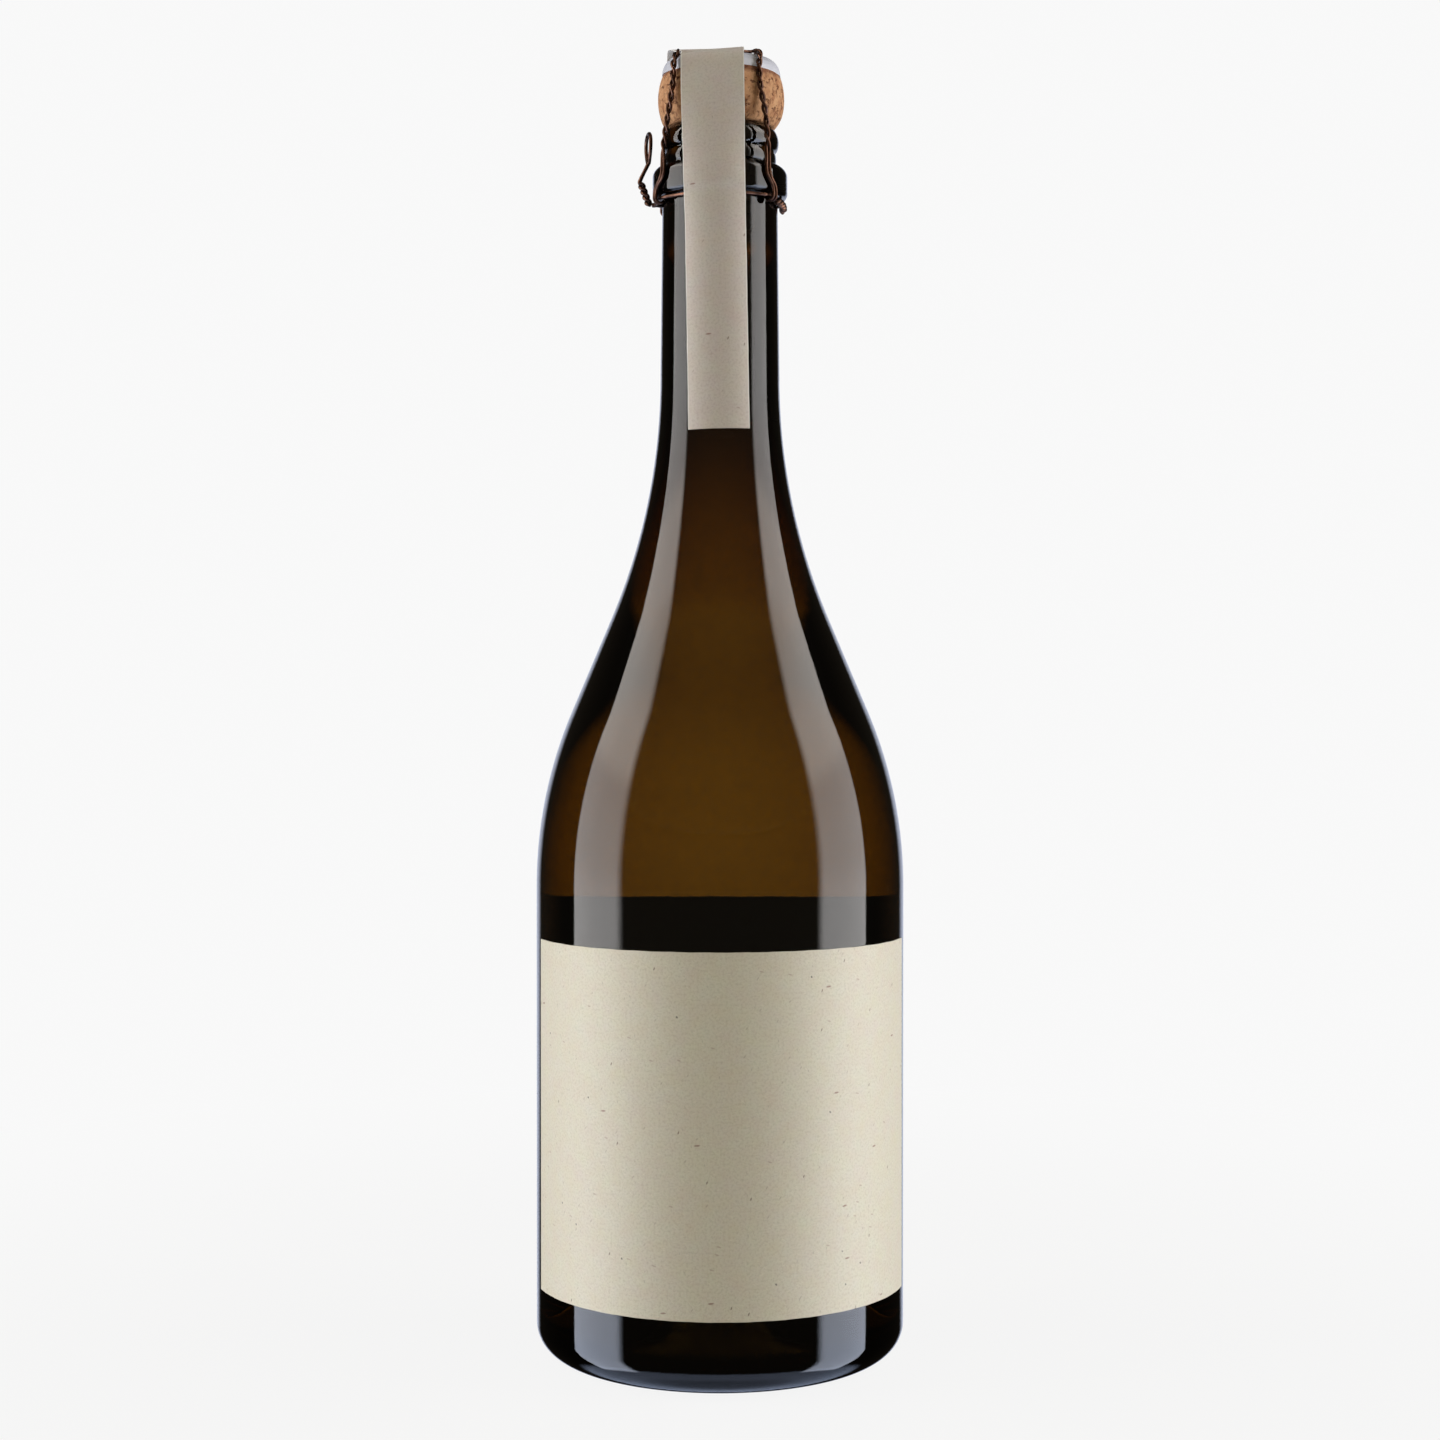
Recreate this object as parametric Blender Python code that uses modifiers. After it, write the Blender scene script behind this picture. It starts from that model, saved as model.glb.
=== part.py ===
"""A sparkling-wine bottle with its cork, metal cap, wire cage, paper labels and paper seal strip.

Metres, +Z up. The origin is the centre of the base, and the front label faces -Y.
Azimuths are degrees about the bottle's axis, from the front, positive towards +X.
"""

import math

import bmesh
import bpy
from mathutils import Vector

# Clearance that neighbouring pieces keep
GAP = 0.0003

# Glass bottle, outside
BOTTLE_HEIGHT = 0.2960
BODY_RADIUS = 0.0444
SHOULDER_HEIGHT = 0.1134
SHOULDER_ARC = 0.1071
SHOULDER_SLOPE = 23.05
NECK_ARC = 0.1502
NECK_ROOT_RADIUS = 0.01439
NECK_TOP_RADIUS = 0.01394
HEEL_REACH = 0.0090
HEEL_HEIGHT = 0.0080
REST_WIDTH = 0.0030
PUNT_HEIGHT = 0.0300
PUNT_TIP_RADIUS = 0.0085

# Glass bottle, inside
BODY_WALL = 0.0043
NECK_WALL = 0.0048
BASE_WALL = 0.0060
MOUTH_RADIUS = 0.0089
BORE_LENGTH = 0.0300
MOUTH_ROUNDING = 0.0008

# Finish of the mouth, with depths measured down from the top of the lip
LIP_TOP_RADIUS = 0.0121
LIP_RADIUS = 0.0142
LIP_DEPTH = 0.0034
GROOVE_RADIUS = 0.0131
GROOVE_DEPTH = 0.0055
BEAD_RADIUS = 0.0136
BEAD_DEPTH = 0.0074
COLLAR_RADIUS = 0.0163
COLLAR_TOP_DEPTH = 0.0093
COLLAR_BOTTOM_DEPTH = 0.0169
COLLAR_TOP_ROUNDING = 0.0024
COLLAR_BOTTOM_ROUNDING = 0.0013

# Cork
CORK_HEAD_RADIUS = 0.01527
CORK_BULGE_HEIGHT = 0.0071
CORK_EDGE_REACH = 0.0039
CORK_LOWER_EDGE = 0.0075
CORK_UPPER_EDGE = 0.0081
CORK_INSERTED = 0.0240
CORK_DISC = 0.0055
CORK_END_ROUNDING = 0.0007

# Metal cap, with heights measured up from the edge of its skirt
CAP_RADIUS = 0.0145
CAP_EDGE_LIFT = 0.0126
CAP_SHOULDER_HEIGHT = 0.0041
CAP_GROOVE_RADIUS = 0.0106
CAP_GROOVE_HEIGHT = 0.0037
CAP_CROWN_RADIUS = 0.0088
CAP_CROWN_HEIGHT = 0.0052
CAP_SHEET = 0.00035
CAP_TILT_FORWARD = 3.0
CAP_TILT_RIGHT = 1.6
CAP_DOME_ANGLES = (55, 22)

# Wire cage
CAGE_WIRE = 0.00075
CAGE_TWIST_GAP = 0.0001
CAGE_HALF_TURNS = 10
RING_RADIUS = 0.0106
RING_SHIFT = 0.0017
RING_CORNER_REACH = 0.0009
RING_CORNER_LENGTH = 0.0020
RING_LIFT = 0.0183
RING_TILT_FORWARD = 6.7
RING_TILT_LEFT = 3.0
UNTWIST_DEPTH = 0.0072
EYE_SPREAD = 0.0010
HOOK_ANGLE = 125
# Azimuth of each leg at the top ring, the cap's edge, the cork's bulge, the lip, the collar and the foot
LEG_AZIMUTHS = (
    (-56, -46, -46, -57, -57, -66),
    (60, 37, 37, 45, 44, 50),
    (124, 127, 128, 130, 133, 138),
    (240, 240, 240, 239, 238, 236),
)

# Belt wire and pull loop
BELT_WIRE = 0.0009
BELT_BULGE_ANGLE = 18
BELT_END_ANGLE = 12
BELT_SPLICE = (62, 94)
SPLICE_SAG = 0.0009
SPLICE_HALF_TURNS = 5
STEM_AZIMUTH = -90
STEM_DROP = 0.0004
STEM_LENGTH = 0.0055
STEM_RISE = 69
STEM_HALF_TURNS = 4
STEM_TWIST_GAP = 0.0001
KINK_REACH = 0.0007
LOOP_LENGTH = 0.0080
LOOP_WIDTH = 0.0070
LOOP_NECK = 0.0040
LOOP_LEAN_IN = 0.0018
LOOP_TURN = 11
LOOP_START_ANGLE = 40
# Widest part of a teardrop's half, which its drawing divides by
TEARDROP_BOW_SHARE = 4 / math.sqrt(27)

# Paper
PAPER = 0.00022
LABEL_HEIGHT = 0.0833
LABEL_BOTTOM = 0.0182
LABEL_SPAN = (-72.5, 76.6)
BACK_LABEL_HEIGHT = 0.0780
BACK_LABEL_TOP = 0.1085
BACK_LABEL_WIDTH = 0.0900
STRIP_WIDTH = 0.0150
STRIP_FRONT_DEPTH = 0.0737
STRIP_BACK_DEPTH = 0.0700
STRIP_SLACK = 0.0002
STRIP_FRONT_SHIFT = 0.0014
STRIP_BACK_SHIFT = 0.0032
STRIP_BRIDGE = 0.009
STRIP_FRONT_TURN = -2.4
STRIP_BACK_TURN = 14
STRIP_TILT = 3.4
# Shares of the strip's lean, and of the neck's roundness across it, from the lip up over the cap
STRIP_LEAN_SHARES = (0.3, 0.6, 0.8, 0.9, 0.95)
STRIP_ROUND_SHARES = (0.6, 0.3, 0.15, 0.05, 0)
# Shares of the dome's height at which the strip touches it, and of that height by which it has drawn in
STRIP_RISE_SHARES = (0.55, 0.92)
STRIP_DRAW_SHARES = (0.11, 0.33)

# Faces
BOTTLE_STEPS = 48
CORK_STEPS = 32
CAP_STEPS = 36
WIRE_RESOLUTION = 1
TURN_POINTS = 8
SIDE_CELLS = 8
LINE_STEPS = 8
RING_STEP = 14
HOOK_POINTS = 6
BELT_STEP = 9
LOOP_POINTS = 18
LABEL_CELL = 0.0048
STRIP_CELLS = 6
NECK_KEYS = 3
TOP_KEYS = 3
FLAT_SHARE = 0.00001


def tidy_scene():
    """Removes what the scene holds and makes a collection for the pieces and one for the cutters."""
    for old in list(bpy.data.objects):
        bpy.data.objects.remove(old, do_unlink=True)
    made = []
    for name in ("sparkling_wine_bottle", "cutters"):
        group = bpy.data.collections.new(name)
        bpy.context.scene.collection.children.link(group)
        made.append(group)
    return made


def material(name, colour, roughness, metallic=0.0, transmission=0.0):
    """A plain Principled material."""
    made = bpy.data.materials.new(name)
    made.use_nodes = True
    shader = made.node_tree.nodes["Principled BSDF"]
    shader.inputs["Base Color"].default_value = (*colour, 1.0)
    shader.inputs["Roughness"].default_value = roughness
    shader.inputs["Metallic"].default_value = metallic
    shader.inputs["Transmission Weight"].default_value = transmission
    made.diffuse_color = (*colour, 1.0)
    return made


def place(name, data, group, finish, parent, location=(0, 0, 0)):
    """Links an object in the world's place, with its material, under its parent."""
    made = bpy.data.objects.new(name, data)
    data.materials.append(finish)
    group.objects.link(made)
    made.location = location
    if parent is not None:
        made.parent = parent
        made.matrix_parent_inverse = parent.matrix_world.inverted()
    return made


def carrier(name, group, location):
    """An empty that carries the pieces of one moving body, on its joint's axis."""
    made = bpy.data.objects.new(name, None)
    group.objects.link(made)
    made.location = location
    bpy.context.view_layer.update()
    return made


def turned(name, outline, steps, group, finish, parent, location=(0, 0, 0)):
    """An outline of (radius, height) points turned round the Z axis."""
    data = bpy.data.meshes.new(name)
    points = [(radius, 0, height) for radius, height in outline]
    data.from_pydata(points, [(i, i + 1) for i in range(len(points) - 1)], [])
    made = place(name, data, group, finish, parent, location)
    screw = made.modifiers.new("turn", "SCREW")
    screw.axis = "Z"
    screw.steps = steps
    screw.render_steps = steps
    screw.use_merge_vertices = True
    screw.merge_threshold = GAP / 30
    screw.use_smooth_shade = True
    return made


def wire(name, points, diameter, group, finish, parent, location=(0, 0, 0), closed=False):
    """A round wire along points given in the world's place."""
    data = bpy.data.curves.new(name, "CURVE")
    data.dimensions = "3D"
    spline = data.splines.new("POLY")
    spline.points.add(len(points) - 1)
    for point, place_on_wire in zip(spline.points, points):
        point.co = (*(place_on_wire - Vector(location)), 1)
    spline.use_cyclic_u = closed
    spline.use_smooth = True
    data.bevel_depth = diameter / 2
    data.bevel_resolution = WIRE_RESOLUTION
    data.use_fill_caps = not closed
    return place(name, data, group, finish, parent, location)


def sheet(name, surface, cells_across, cells_along, group, finish, parent):
    """A sheet of paper: a grid put in place by surface(across, along), two shares, and given a wall."""
    grid = bmesh.new()
    bmesh.ops.create_grid(grid, x_segments=cells_across, y_segments=cells_along, size=0.5)
    for corner in grid.verts:
        corner.co = surface(corner.co.x + 0.5, corner.co.y + 0.5)
    data = bpy.data.meshes.new(name)
    grid.to_mesh(data)
    grid.free()
    data.shade_smooth()
    made = place(name, data, group, finish, parent)
    wall = made.modifiers.new("paper", "SOLIDIFY")
    wall.thickness = PAPER
    wall.offset = 1.0
    return made


def polar(azimuth, radius, height):
    """The point at an azimuth in degrees, a radius and a height."""
    turn = math.radians(azimuth)
    return Vector((radius * math.sin(turn), -radius * math.cos(turn), height))


def around(azimuth):
    """The level direction in which the azimuth grows."""
    turn = math.radians(azimuth)
    return Vector((math.cos(turn), math.sin(turn), 0))


def azimuth_of(point):
    return math.degrees(math.atan2(point.x, -point.y))


def arc(centre, reach, start, end, steps):
    """Points (radius, height) on an arc, from one angle to another in degrees, 0 outwards and 90 up."""
    made = []
    for i in range(steps + 1):
        turn = math.radians(start + (end - start) * i / steps)
        made.append((centre[0] + reach[0] * math.cos(turn), centre[1] + reach[1] * math.sin(turn)))
    return made


def smooth_line(keys, steps):
    """A smooth curve through every key point, as Catmull and Rom draw it, with a number of steps a span."""
    ends = [2 * keys[0] - keys[1], *keys, 2 * keys[-1] - keys[-2]]
    made = []
    for a, b, c, d in zip(ends, ends[1:], ends[2:], ends[3:]):
        for i in range(steps):
            t = i / steps
            square, cube = 2 * a - 5 * b + 4 * c - d, 3 * b - a - 3 * c + d
            made.append((2 * b + (c - a) * t + square * t**2 + cube * t**3) / 2)
    return [*made, keys[-1]]


def even_points(line, count):
    """Count + 1 points spaced evenly along a line, its ends among them."""
    lengths = [0.0]
    for a, b in zip(line, line[1:]):
        lengths.append(lengths[-1] + (b - a).length)
    made = []
    span = 0
    for i in range(count + 1):
        want = lengths[-1] * i / count
        while span < len(line) - 2 and lengths[span + 1] < want:
            span += 1
        share = (want - lengths[span]) / (lengths[span + 1] - lengths[span])
        made.append(line[span].lerp(line[span + 1], min(max(share, 0), 1)))
    return made


def wound(line, side_of, reach, half_turns, hand):
    """One strand of a twisted pair, winding round a line. Its hand, +1 or -1, is the side it starts on.

    At both ends the strands lie side by side along side_of(point).
    """
    made = []
    last = len(line) - 1
    for i, point in enumerate(line):
        ahead = (line[min(i + 1, last)] - line[max(i - 1, 0)]).normalized()
        side = side_of(point)
        side = (side - ahead * side.dot(ahead)).normalized()
        turn = math.pi * half_turns * i / last
        made.append(point + (side * math.cos(turn) + side.cross(ahead) * math.sin(turn)) * reach * hand)
    return made


def flank(wall, neck_wall, cells):
    """The side of the bottle from the shoulder's start to the neck's root, a wall's thickness inside.

    It is a round shoulder, a straight cone and a hollow arc into the neck.
    """
    slope = math.radians(SHOULDER_SLOPE)
    drop = (SHOULDER_ARC + NECK_ARC) * (1 - math.cos(slope))
    cone = (BODY_RADIUS - NECK_ROOT_RADIUS - drop) / math.sin(slope)
    shoulder = (BODY_RADIUS - SHOULDER_ARC, SHOULDER_HEIGHT)
    inside = SHOULDER_ARC - wall
    made = arc(shoulder, (inside, inside), 0, SHOULDER_SLOPE, cells)
    rise = (SHOULDER_ARC + NECK_ARC) * math.sin(slope) + cone * math.cos(slope)
    hollow = (NECK_ROOT_RADIUS + NECK_ARC, SHOULDER_HEIGHT + rise)
    for i in range(cells + 1):
        share = i / cells
        reach = NECK_ARC + wall + (neck_wall - wall) * share
        made += arc(hollow, (reach, reach), 180 + SHOULDER_SLOPE * (1 - share), 180, 1)[:1]
    return made


def bottle_outline():
    """The outline of the glass, from the axis up its inside to the mouth and down its outside."""
    heel = BODY_RADIUS - HEEL_REACH
    foot = heel - REST_WIDTH
    collar_top = BOTTLE_HEIGHT - COLLAR_TOP_DEPTH
    collar_bottom = BOTTLE_HEIGHT - COLLAR_BOTTOM_DEPTH
    bore_end = BOTTLE_HEIGHT - BORE_LENGTH
    inner_heel = HEEL_REACH - BODY_WALL / 2
    inner_floor = BASE_WALL
    foot_round = BASE_WALL

    inside = [(0, PUNT_HEIGHT + BASE_WALL)]
    inside += arc((0, PUNT_HEIGHT - PUNT_TIP_RADIUS), (PUNT_TIP_RADIUS + BASE_WALL,) * 2, 70, 30, 2)
    valley = (BODY_RADIUS - BODY_WALL - inner_heel, inner_floor + inner_heel)
    inside += arc(valley, (inner_heel, inner_heel), -90, 0, 4)
    inside += flank(BODY_WALL, NECK_WALL, SIDE_CELLS - 1)
    inside += [(MOUTH_RADIUS, bore_end), (MOUTH_RADIUS, BOTTLE_HEIGHT - MOUTH_ROUNDING)]
    inside += [(MOUTH_RADIUS + MOUTH_ROUNDING, BOTTLE_HEIGHT)]

    lip_reach = LIP_RADIUS - LIP_TOP_RADIUS
    lip = arc((LIP_TOP_RADIUS, BOTTLE_HEIGHT - LIP_DEPTH), (lip_reach, LIP_DEPTH), 90, 0, 4)
    lip_under = (LIP_RADIUS - GROOVE_RADIUS, GROOVE_DEPTH - LIP_DEPTH)
    lip += arc((GROOVE_RADIUS, BOTTLE_HEIGHT - LIP_DEPTH), lip_under, -35, -80, 1)
    bead = (BEAD_RADIUS - GROOVE_RADIUS, BEAD_DEPTH - GROOVE_DEPTH)
    lip += arc((GROOVE_RADIUS, BOTTLE_HEIGHT - BEAD_DEPTH), bead, 60, -60, 3)
    shelf = COLLAR_TOP_ROUNDING
    collar = [(GROOVE_RADIUS, collar_top)]
    collar += arc((COLLAR_RADIUS - shelf, collar_top - shelf), (shelf, shelf), 80, 0, 3)
    under = COLLAR_BOTTOM_ROUNDING
    collar += arc((COLLAR_RADIUS - under, collar_bottom + under), (under, under), 0, -90, 2)
    collar += [(NECK_TOP_RADIUS, collar_bottom)]

    outside = list(reversed(flank(0, 0, SIDE_CELLS)))
    outside += list(reversed(arc((heel, HEEL_HEIGHT), (HEEL_REACH, HEEL_HEIGHT), -90, 0, 5)))
    punt = [(foot, 0)]
    punt += arc((foot - foot_round, 0), (foot_round, foot_round), 20, 55, 2)
    punt += arc((0, PUNT_HEIGHT - PUNT_TIP_RADIUS), (PUNT_TIP_RADIUS,) * 2, 25, 90, 3)
    return inside + lip + collar + outside + punt


def glass_radius(height):
    """Radius of the glass outside at a height between the shoulder and the collar."""
    side = [*flank(0, 0, SIDE_CELLS), (NECK_TOP_RADIUS, collar_bottom())]
    for (r0, z0), (r1, z1) in zip(side, side[1:]):
        if height <= z1:
            break
    return r0 + (r1 - r0) * (height - z0) / (z1 - z0)


def collar_bottom():
    return BOTTLE_HEIGHT - COLLAR_BOTTOM_DEPTH


def inset(outline, distance):
    """An outline moved to its inner side, each point along the mean normal of its two edges."""
    made = []
    last = len(outline) - 1
    for i, (radius, height) in enumerate(outline):
        back, ahead = outline[max(i - 1, 0)], outline[min(i + 1, last)]
        run, rise = ahead[0] - back[0], ahead[1] - back[1]
        length = math.hypot(run, rise)
        made.append((max(radius + rise / length * distance, 0), height - run / length * distance))
    return made


def cork_shank():
    """Length of the cork body's shank below the lip, which the two discs and their joints leave."""
    return CORK_INSERTED - 2 * (CORK_DISC + GAP)


def cork_outline():
    """The cork above its discs, with heights from the lip: a bulging head on a straight shank."""
    centre = (CORK_HEAD_RADIUS - CORK_EDGE_REACH, CORK_BULGE_HEIGHT)
    foot_angle = math.degrees(math.asin((CORK_BULGE_HEIGHT - GAP) / CORK_LOWER_EDGE))
    made = [(0, CORK_BULGE_HEIGHT + CORK_UPPER_EDGE)]
    made += arc(centre, (CORK_EDGE_REACH, CORK_UPPER_EDGE), 90, 0, 6)
    made += arc(centre, (CORK_EDGE_REACH, CORK_LOWER_EDGE), 0, -foot_angle, 4)[1:]
    made += [(MOUTH_RADIUS + MOUTH_ROUNDING, GAP), (MOUTH_RADIUS - GAP, -MOUTH_ROUNDING)]
    made += [(MOUTH_RADIUS - GAP, -cork_shank()), (0, -cork_shank())]
    return made


def disc_outline(top):
    """A cork disc whose top lies that far below the lip, with its lower rim rounded off."""
    radius = MOUTH_RADIUS - GAP
    bottom = top + CORK_DISC
    rim = radius - CORK_END_ROUNDING
    return [(0, -top), (radius, -top), (radius, CORK_END_ROUNDING - bottom), (rim, -bottom), (0, -bottom)]


def cap_outline():
    """The cap's outside, with heights from its edge: a raised crown, a groove and a domed skirt."""
    between = (CAP_CROWN_RADIUS + CAP_GROOVE_RADIUS) / 2
    made = [(0, CAP_CROWN_HEIGHT), (CAP_CROWN_RADIUS, CAP_CROWN_HEIGHT), (between, CAP_GROOVE_HEIGHT)]
    made += [(CAP_GROOVE_RADIUS, CAP_GROOVE_HEIGHT)]
    reach = (CAP_RADIUS - CAP_GROOVE_RADIUS, CAP_SHOULDER_HEIGHT)
    return made + arc((CAP_GROOVE_RADIUS, 0), reach, 75, 0, 6)


def set_on_cork(made):
    """Gives a piece the cap's tilt."""
    made.rotation_euler = (math.radians(CAP_TILT_FORWARD), math.radians(CAP_TILT_RIGHT), 0)


def cut_for_cap(cork, group, finish):
    """Takes the cap, with the clearance round it, out of the cork's head."""
    hollow = inset(cap_outline(), CAP_SHEET + GAP)
    outside = CAP_RADIUS + CORK_HEAD_RADIUS
    above = CAP_CROWN_HEIGHT + CORK_HEAD_RADIUS
    outline = [(0, above), (outside, above), (outside, -GAP), (hollow[-1][0], -GAP), *reversed(hollow)]
    cutter = turned("cap_cutter", outline, CAP_STEPS, group, finish, None, (0, 0, cap_height()))
    set_on_cork(cutter)
    cutter.hide_render = True
    cutter.display_type = "WIRE"
    cut = cork.modifiers.new("cap", "BOOLEAN")
    cut.operation = "DIFFERENCE"
    cut.solver = "EXACT"
    cut.object = cutter


def cap_height():
    """Height of the cap's edge, in the middle."""
    return BOTTLE_HEIGHT + CAP_EDGE_LIFT


def on_cap(azimuth, radius, lift):
    """A point beside the tilted cap, lifted from the level of its edge."""
    point = polar(azimuth, radius, cap_height() + lift)
    forward, right = math.radians(CAP_TILT_FORWARD), math.radians(CAP_TILT_RIGHT)
    point.z += point.y * math.tan(forward) - point.x * math.tan(right)
    return point


def ring_point(azimuth, reach=0.0):
    """A point of the cage's top ring, which lies a little off the axis and tilts, reached outwards."""
    point = polar(azimuth, RING_RADIUS + reach, BOTTLE_HEIGHT + RING_LIFT)
    forward, left = math.radians(RING_TILT_FORWARD), math.radians(RING_TILT_LEFT)
    point.z += point.y * math.tan(forward) + point.x * math.tan(left)
    point.x -= RING_SHIFT
    return point


def belt_height():
    return collar_bottom() - GAP - BELT_WIRE / 2


def belt_radius():
    """Radius of the belt where it lies on the neck."""
    return glass_radius(belt_height()) + GAP + BELT_WIRE / 2


def hook_reach():
    """From the middle of the belt wire to the middle of the cage wire that hooks round it."""
    return (BELT_WIRE + CAGE_WIRE) / 2 + GAP + CAGE_TWIST_GAP


def foot_radius():
    """Radius of the belt inside a hook, whose end passes between it and the neck."""
    return glass_radius(belt_height()) + GAP + CAGE_WIRE / 2 + hook_reach()


def beside_collar():
    """Radius of the cage wire where it runs down past the collar."""
    return COLLAR_RADIUS + GAP + CAGE_WIRE / 2


def leg_line(leg):
    """The middle line of a leg's twist, from the top ring over the cap and the cork to the collar."""
    root, edge, cork, lip, collar = leg[:5]
    off = GAP + CAGE_WIRE + CAGE_TWIST_GAP / 2
    bulge = CORK_HEAD_RADIUS + off
    start = ring_point(root, RING_CORNER_REACH)
    turned_by = (azimuth_of(start) - edge + 180) % 360 - 180
    keys = [start]
    for angle in (*CAP_DOME_ANGLES, 0):
        dome = math.radians(angle)
        radius = CAP_GROOVE_RADIUS + (CAP_RADIUS - CAP_GROOVE_RADIUS + off) * math.cos(dome)
        lift = (CAP_SHOULDER_HEIGHT + off) * math.sin(dome)
        keys.append(on_cap(edge + turned_by * angle / 90, radius, lift))
    keys += [
        polar(cork, bulge, BOTTLE_HEIGHT + CORK_BULGE_HEIGHT),
        polar(lip, (bulge + beside_collar()) / 2, BOTTLE_HEIGHT),
        polar(collar, beside_collar(), BOTTLE_HEIGHT - UNTWIST_DEPTH),
    ]
    return smooth_line(keys, LINE_STEPS)


def leg_strand(leg, hand):
    """One strand of a leg, from the top ring down and through its hook up to the hook's end."""
    line = even_points(leg_line(leg), CAGE_HALF_TURNS * TURN_POINTS // 2)
    reach = (CAGE_WIRE + CAGE_TWIST_GAP) / 2
    made = wound(line, lambda point: around(azimuth_of(point)), reach, CAGE_HALF_TURNS, hand)
    collar, foot = leg[4:]
    shelf = BOTTLE_HEIGHT - COLLAR_TOP_DEPTH - COLLAR_TOP_ROUNDING
    under = collar_bottom() + COLLAR_BOTTOM_ROUNDING
    aside = EYE_SPREAD / 2 * hand
    for share in (0, 0.5, 1):
        azimuth = collar + (foot - collar) * share**2
        middle = polar(azimuth, beside_collar(), shelf + (under - shelf) * share)
        made.append(middle + around(azimuth) * aside)
    made += [hook_point(foot, HOOK_ANGLE * i / (HOOK_POINTS - 1), aside) for i in range(HOOK_POINTS)]
    return made


def hook_point(foot, turn, aside):
    """A point of a hook, turned that far down and round the belt wire from its outer side."""
    bend = math.radians(turn)
    radius = foot_radius() + hook_reach() * math.cos(bend)
    return polar(foot, radius, belt_height() - hook_reach() * math.sin(bend)) + around(foot) * aside


def hook_end(foot):
    """The round end that joins a hook's two strands."""
    made = []
    lean = math.degrees(EYE_SPREAD / 2 / hook_reach())
    for turn in (45, 90, 135):
        swing = math.radians(turn)
        made.append(hook_point(foot, HOOK_ANGLE + lean * math.sin(swing), -EYE_SPREAD / 2 * math.cos(swing)))
    return made


def ring_arc(start, end):
    """The ring's wire between the legs at two azimuths, with its bend towards each."""
    corner = math.degrees(RING_CORNER_LENGTH / RING_RADIUS)
    first, last = start + corner, end - corner
    steps = max(2, round((last - first) / RING_STEP))
    middle = [ring_point(first + (last - first) * i / steps) for i in range(steps + 1)]
    near = RING_CORNER_REACH / 3
    return [ring_point(start + corner / 2, near), *middle, ring_point(end - corner / 2, near)]


def cage_points():
    """The cage's one endless wire: down a leg, round its hook, up again and along the ring to the next."""
    made = []
    for leg, after in zip(LEG_AZIMUTHS, LEG_AZIMUTHS[1:] + LEG_AZIMUTHS[:1]):
        made += leg_strand(leg, -1)
        made += hook_end(leg[5])
        made += reversed(leg_strand(leg, 1))
        made += ring_arc(leg[0], leg[0] + (after[0] - leg[0]) % 360)
    return made


def belt_point(azimuth):
    """The middle of the belt wire, which stands off the neck where it runs through a hook."""
    nearest = min(abs((azimuth - leg[5] + 180) % 360 - 180) for leg in LEG_AZIMUTHS)
    share = math.cos(math.pi / 2 * min(nearest / BELT_BULGE_ANGLE, 1)) ** 2
    return polar(azimuth, belt_radius() + (foot_radius() - belt_radius()) * share, belt_height())


def belt_run(start, end):
    """Points of the belt wire from one azimuth to another."""
    steps = max(1, round(abs(end - start) / BELT_STEP))
    return [belt_point(start + (end - start) * i / steps) for i in range(steps + 1)]


def splice_reach():
    """From the middle line of the splice to the middle of either of its wires."""
    return (BELT_WIRE + GAP) / 2


def splice_strand(hand):
    """One wire of the splice in which the belt's two halves are twisted together."""
    start, end = BELT_SPLICE
    count = SPLICE_HALF_TURNS * TURN_POINTS // 2
    radius = belt_radius() + splice_reach()
    top = belt_height() - splice_reach()
    line = []
    for i in range(count + 1):
        share = i / count
        line.append(polar(start + (end - start) * share, radius, top - SPLICE_SAG * share))
    return wound(line, lambda point: Vector((0, 0, 1)), splice_reach(), SPLICE_HALF_TURNS, hand)


def stem_base():
    """The middle of the pull loop's lower end, about which it folds."""
    clear_of_collar = COLLAR_RADIUS + GAP + BELT_WIRE / 2 + STEM_TWIST_GAP
    return polar(STEM_AZIMUTH, clear_of_collar, belt_height() - STEM_DROP)


def belt_end(side):
    """The end of one half of the belt, facing the pull loop's wire on that side of it, and its two bends."""
    aside = around(STEM_AZIMUTH) * (splice_reach() * side)
    tip = stem_base() - polar(STEM_AZIMUTH, BELT_WIRE / 2 + GAP + STEM_TWIST_GAP, 0) + aside
    bend = tip - polar(STEM_AZIMUTH, BELT_WIRE / 2, 0)
    return [tip, bend, bend.lerp(belt_point(STEM_AZIMUTH) + 3 * aside, 0.4)]


def belt_front_points():
    """From the pull loop round the front and through the splice."""
    run = belt_run(STEM_AZIMUTH + BELT_END_ANGLE, BELT_SPLICE[0] - BELT_END_ANGLE / 2)
    return [*belt_end(1), *run, *splice_strand(1)]


def belt_back_points():
    """From the pull loop round the back and through the splice."""
    run = belt_run(STEM_AZIMUTH + 360 - BELT_END_ANGLE, BELT_SPLICE[1] + BELT_END_ANGLE / 2)
    return [*belt_end(-1), *run, *reversed(splice_strand(-1))]


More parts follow.
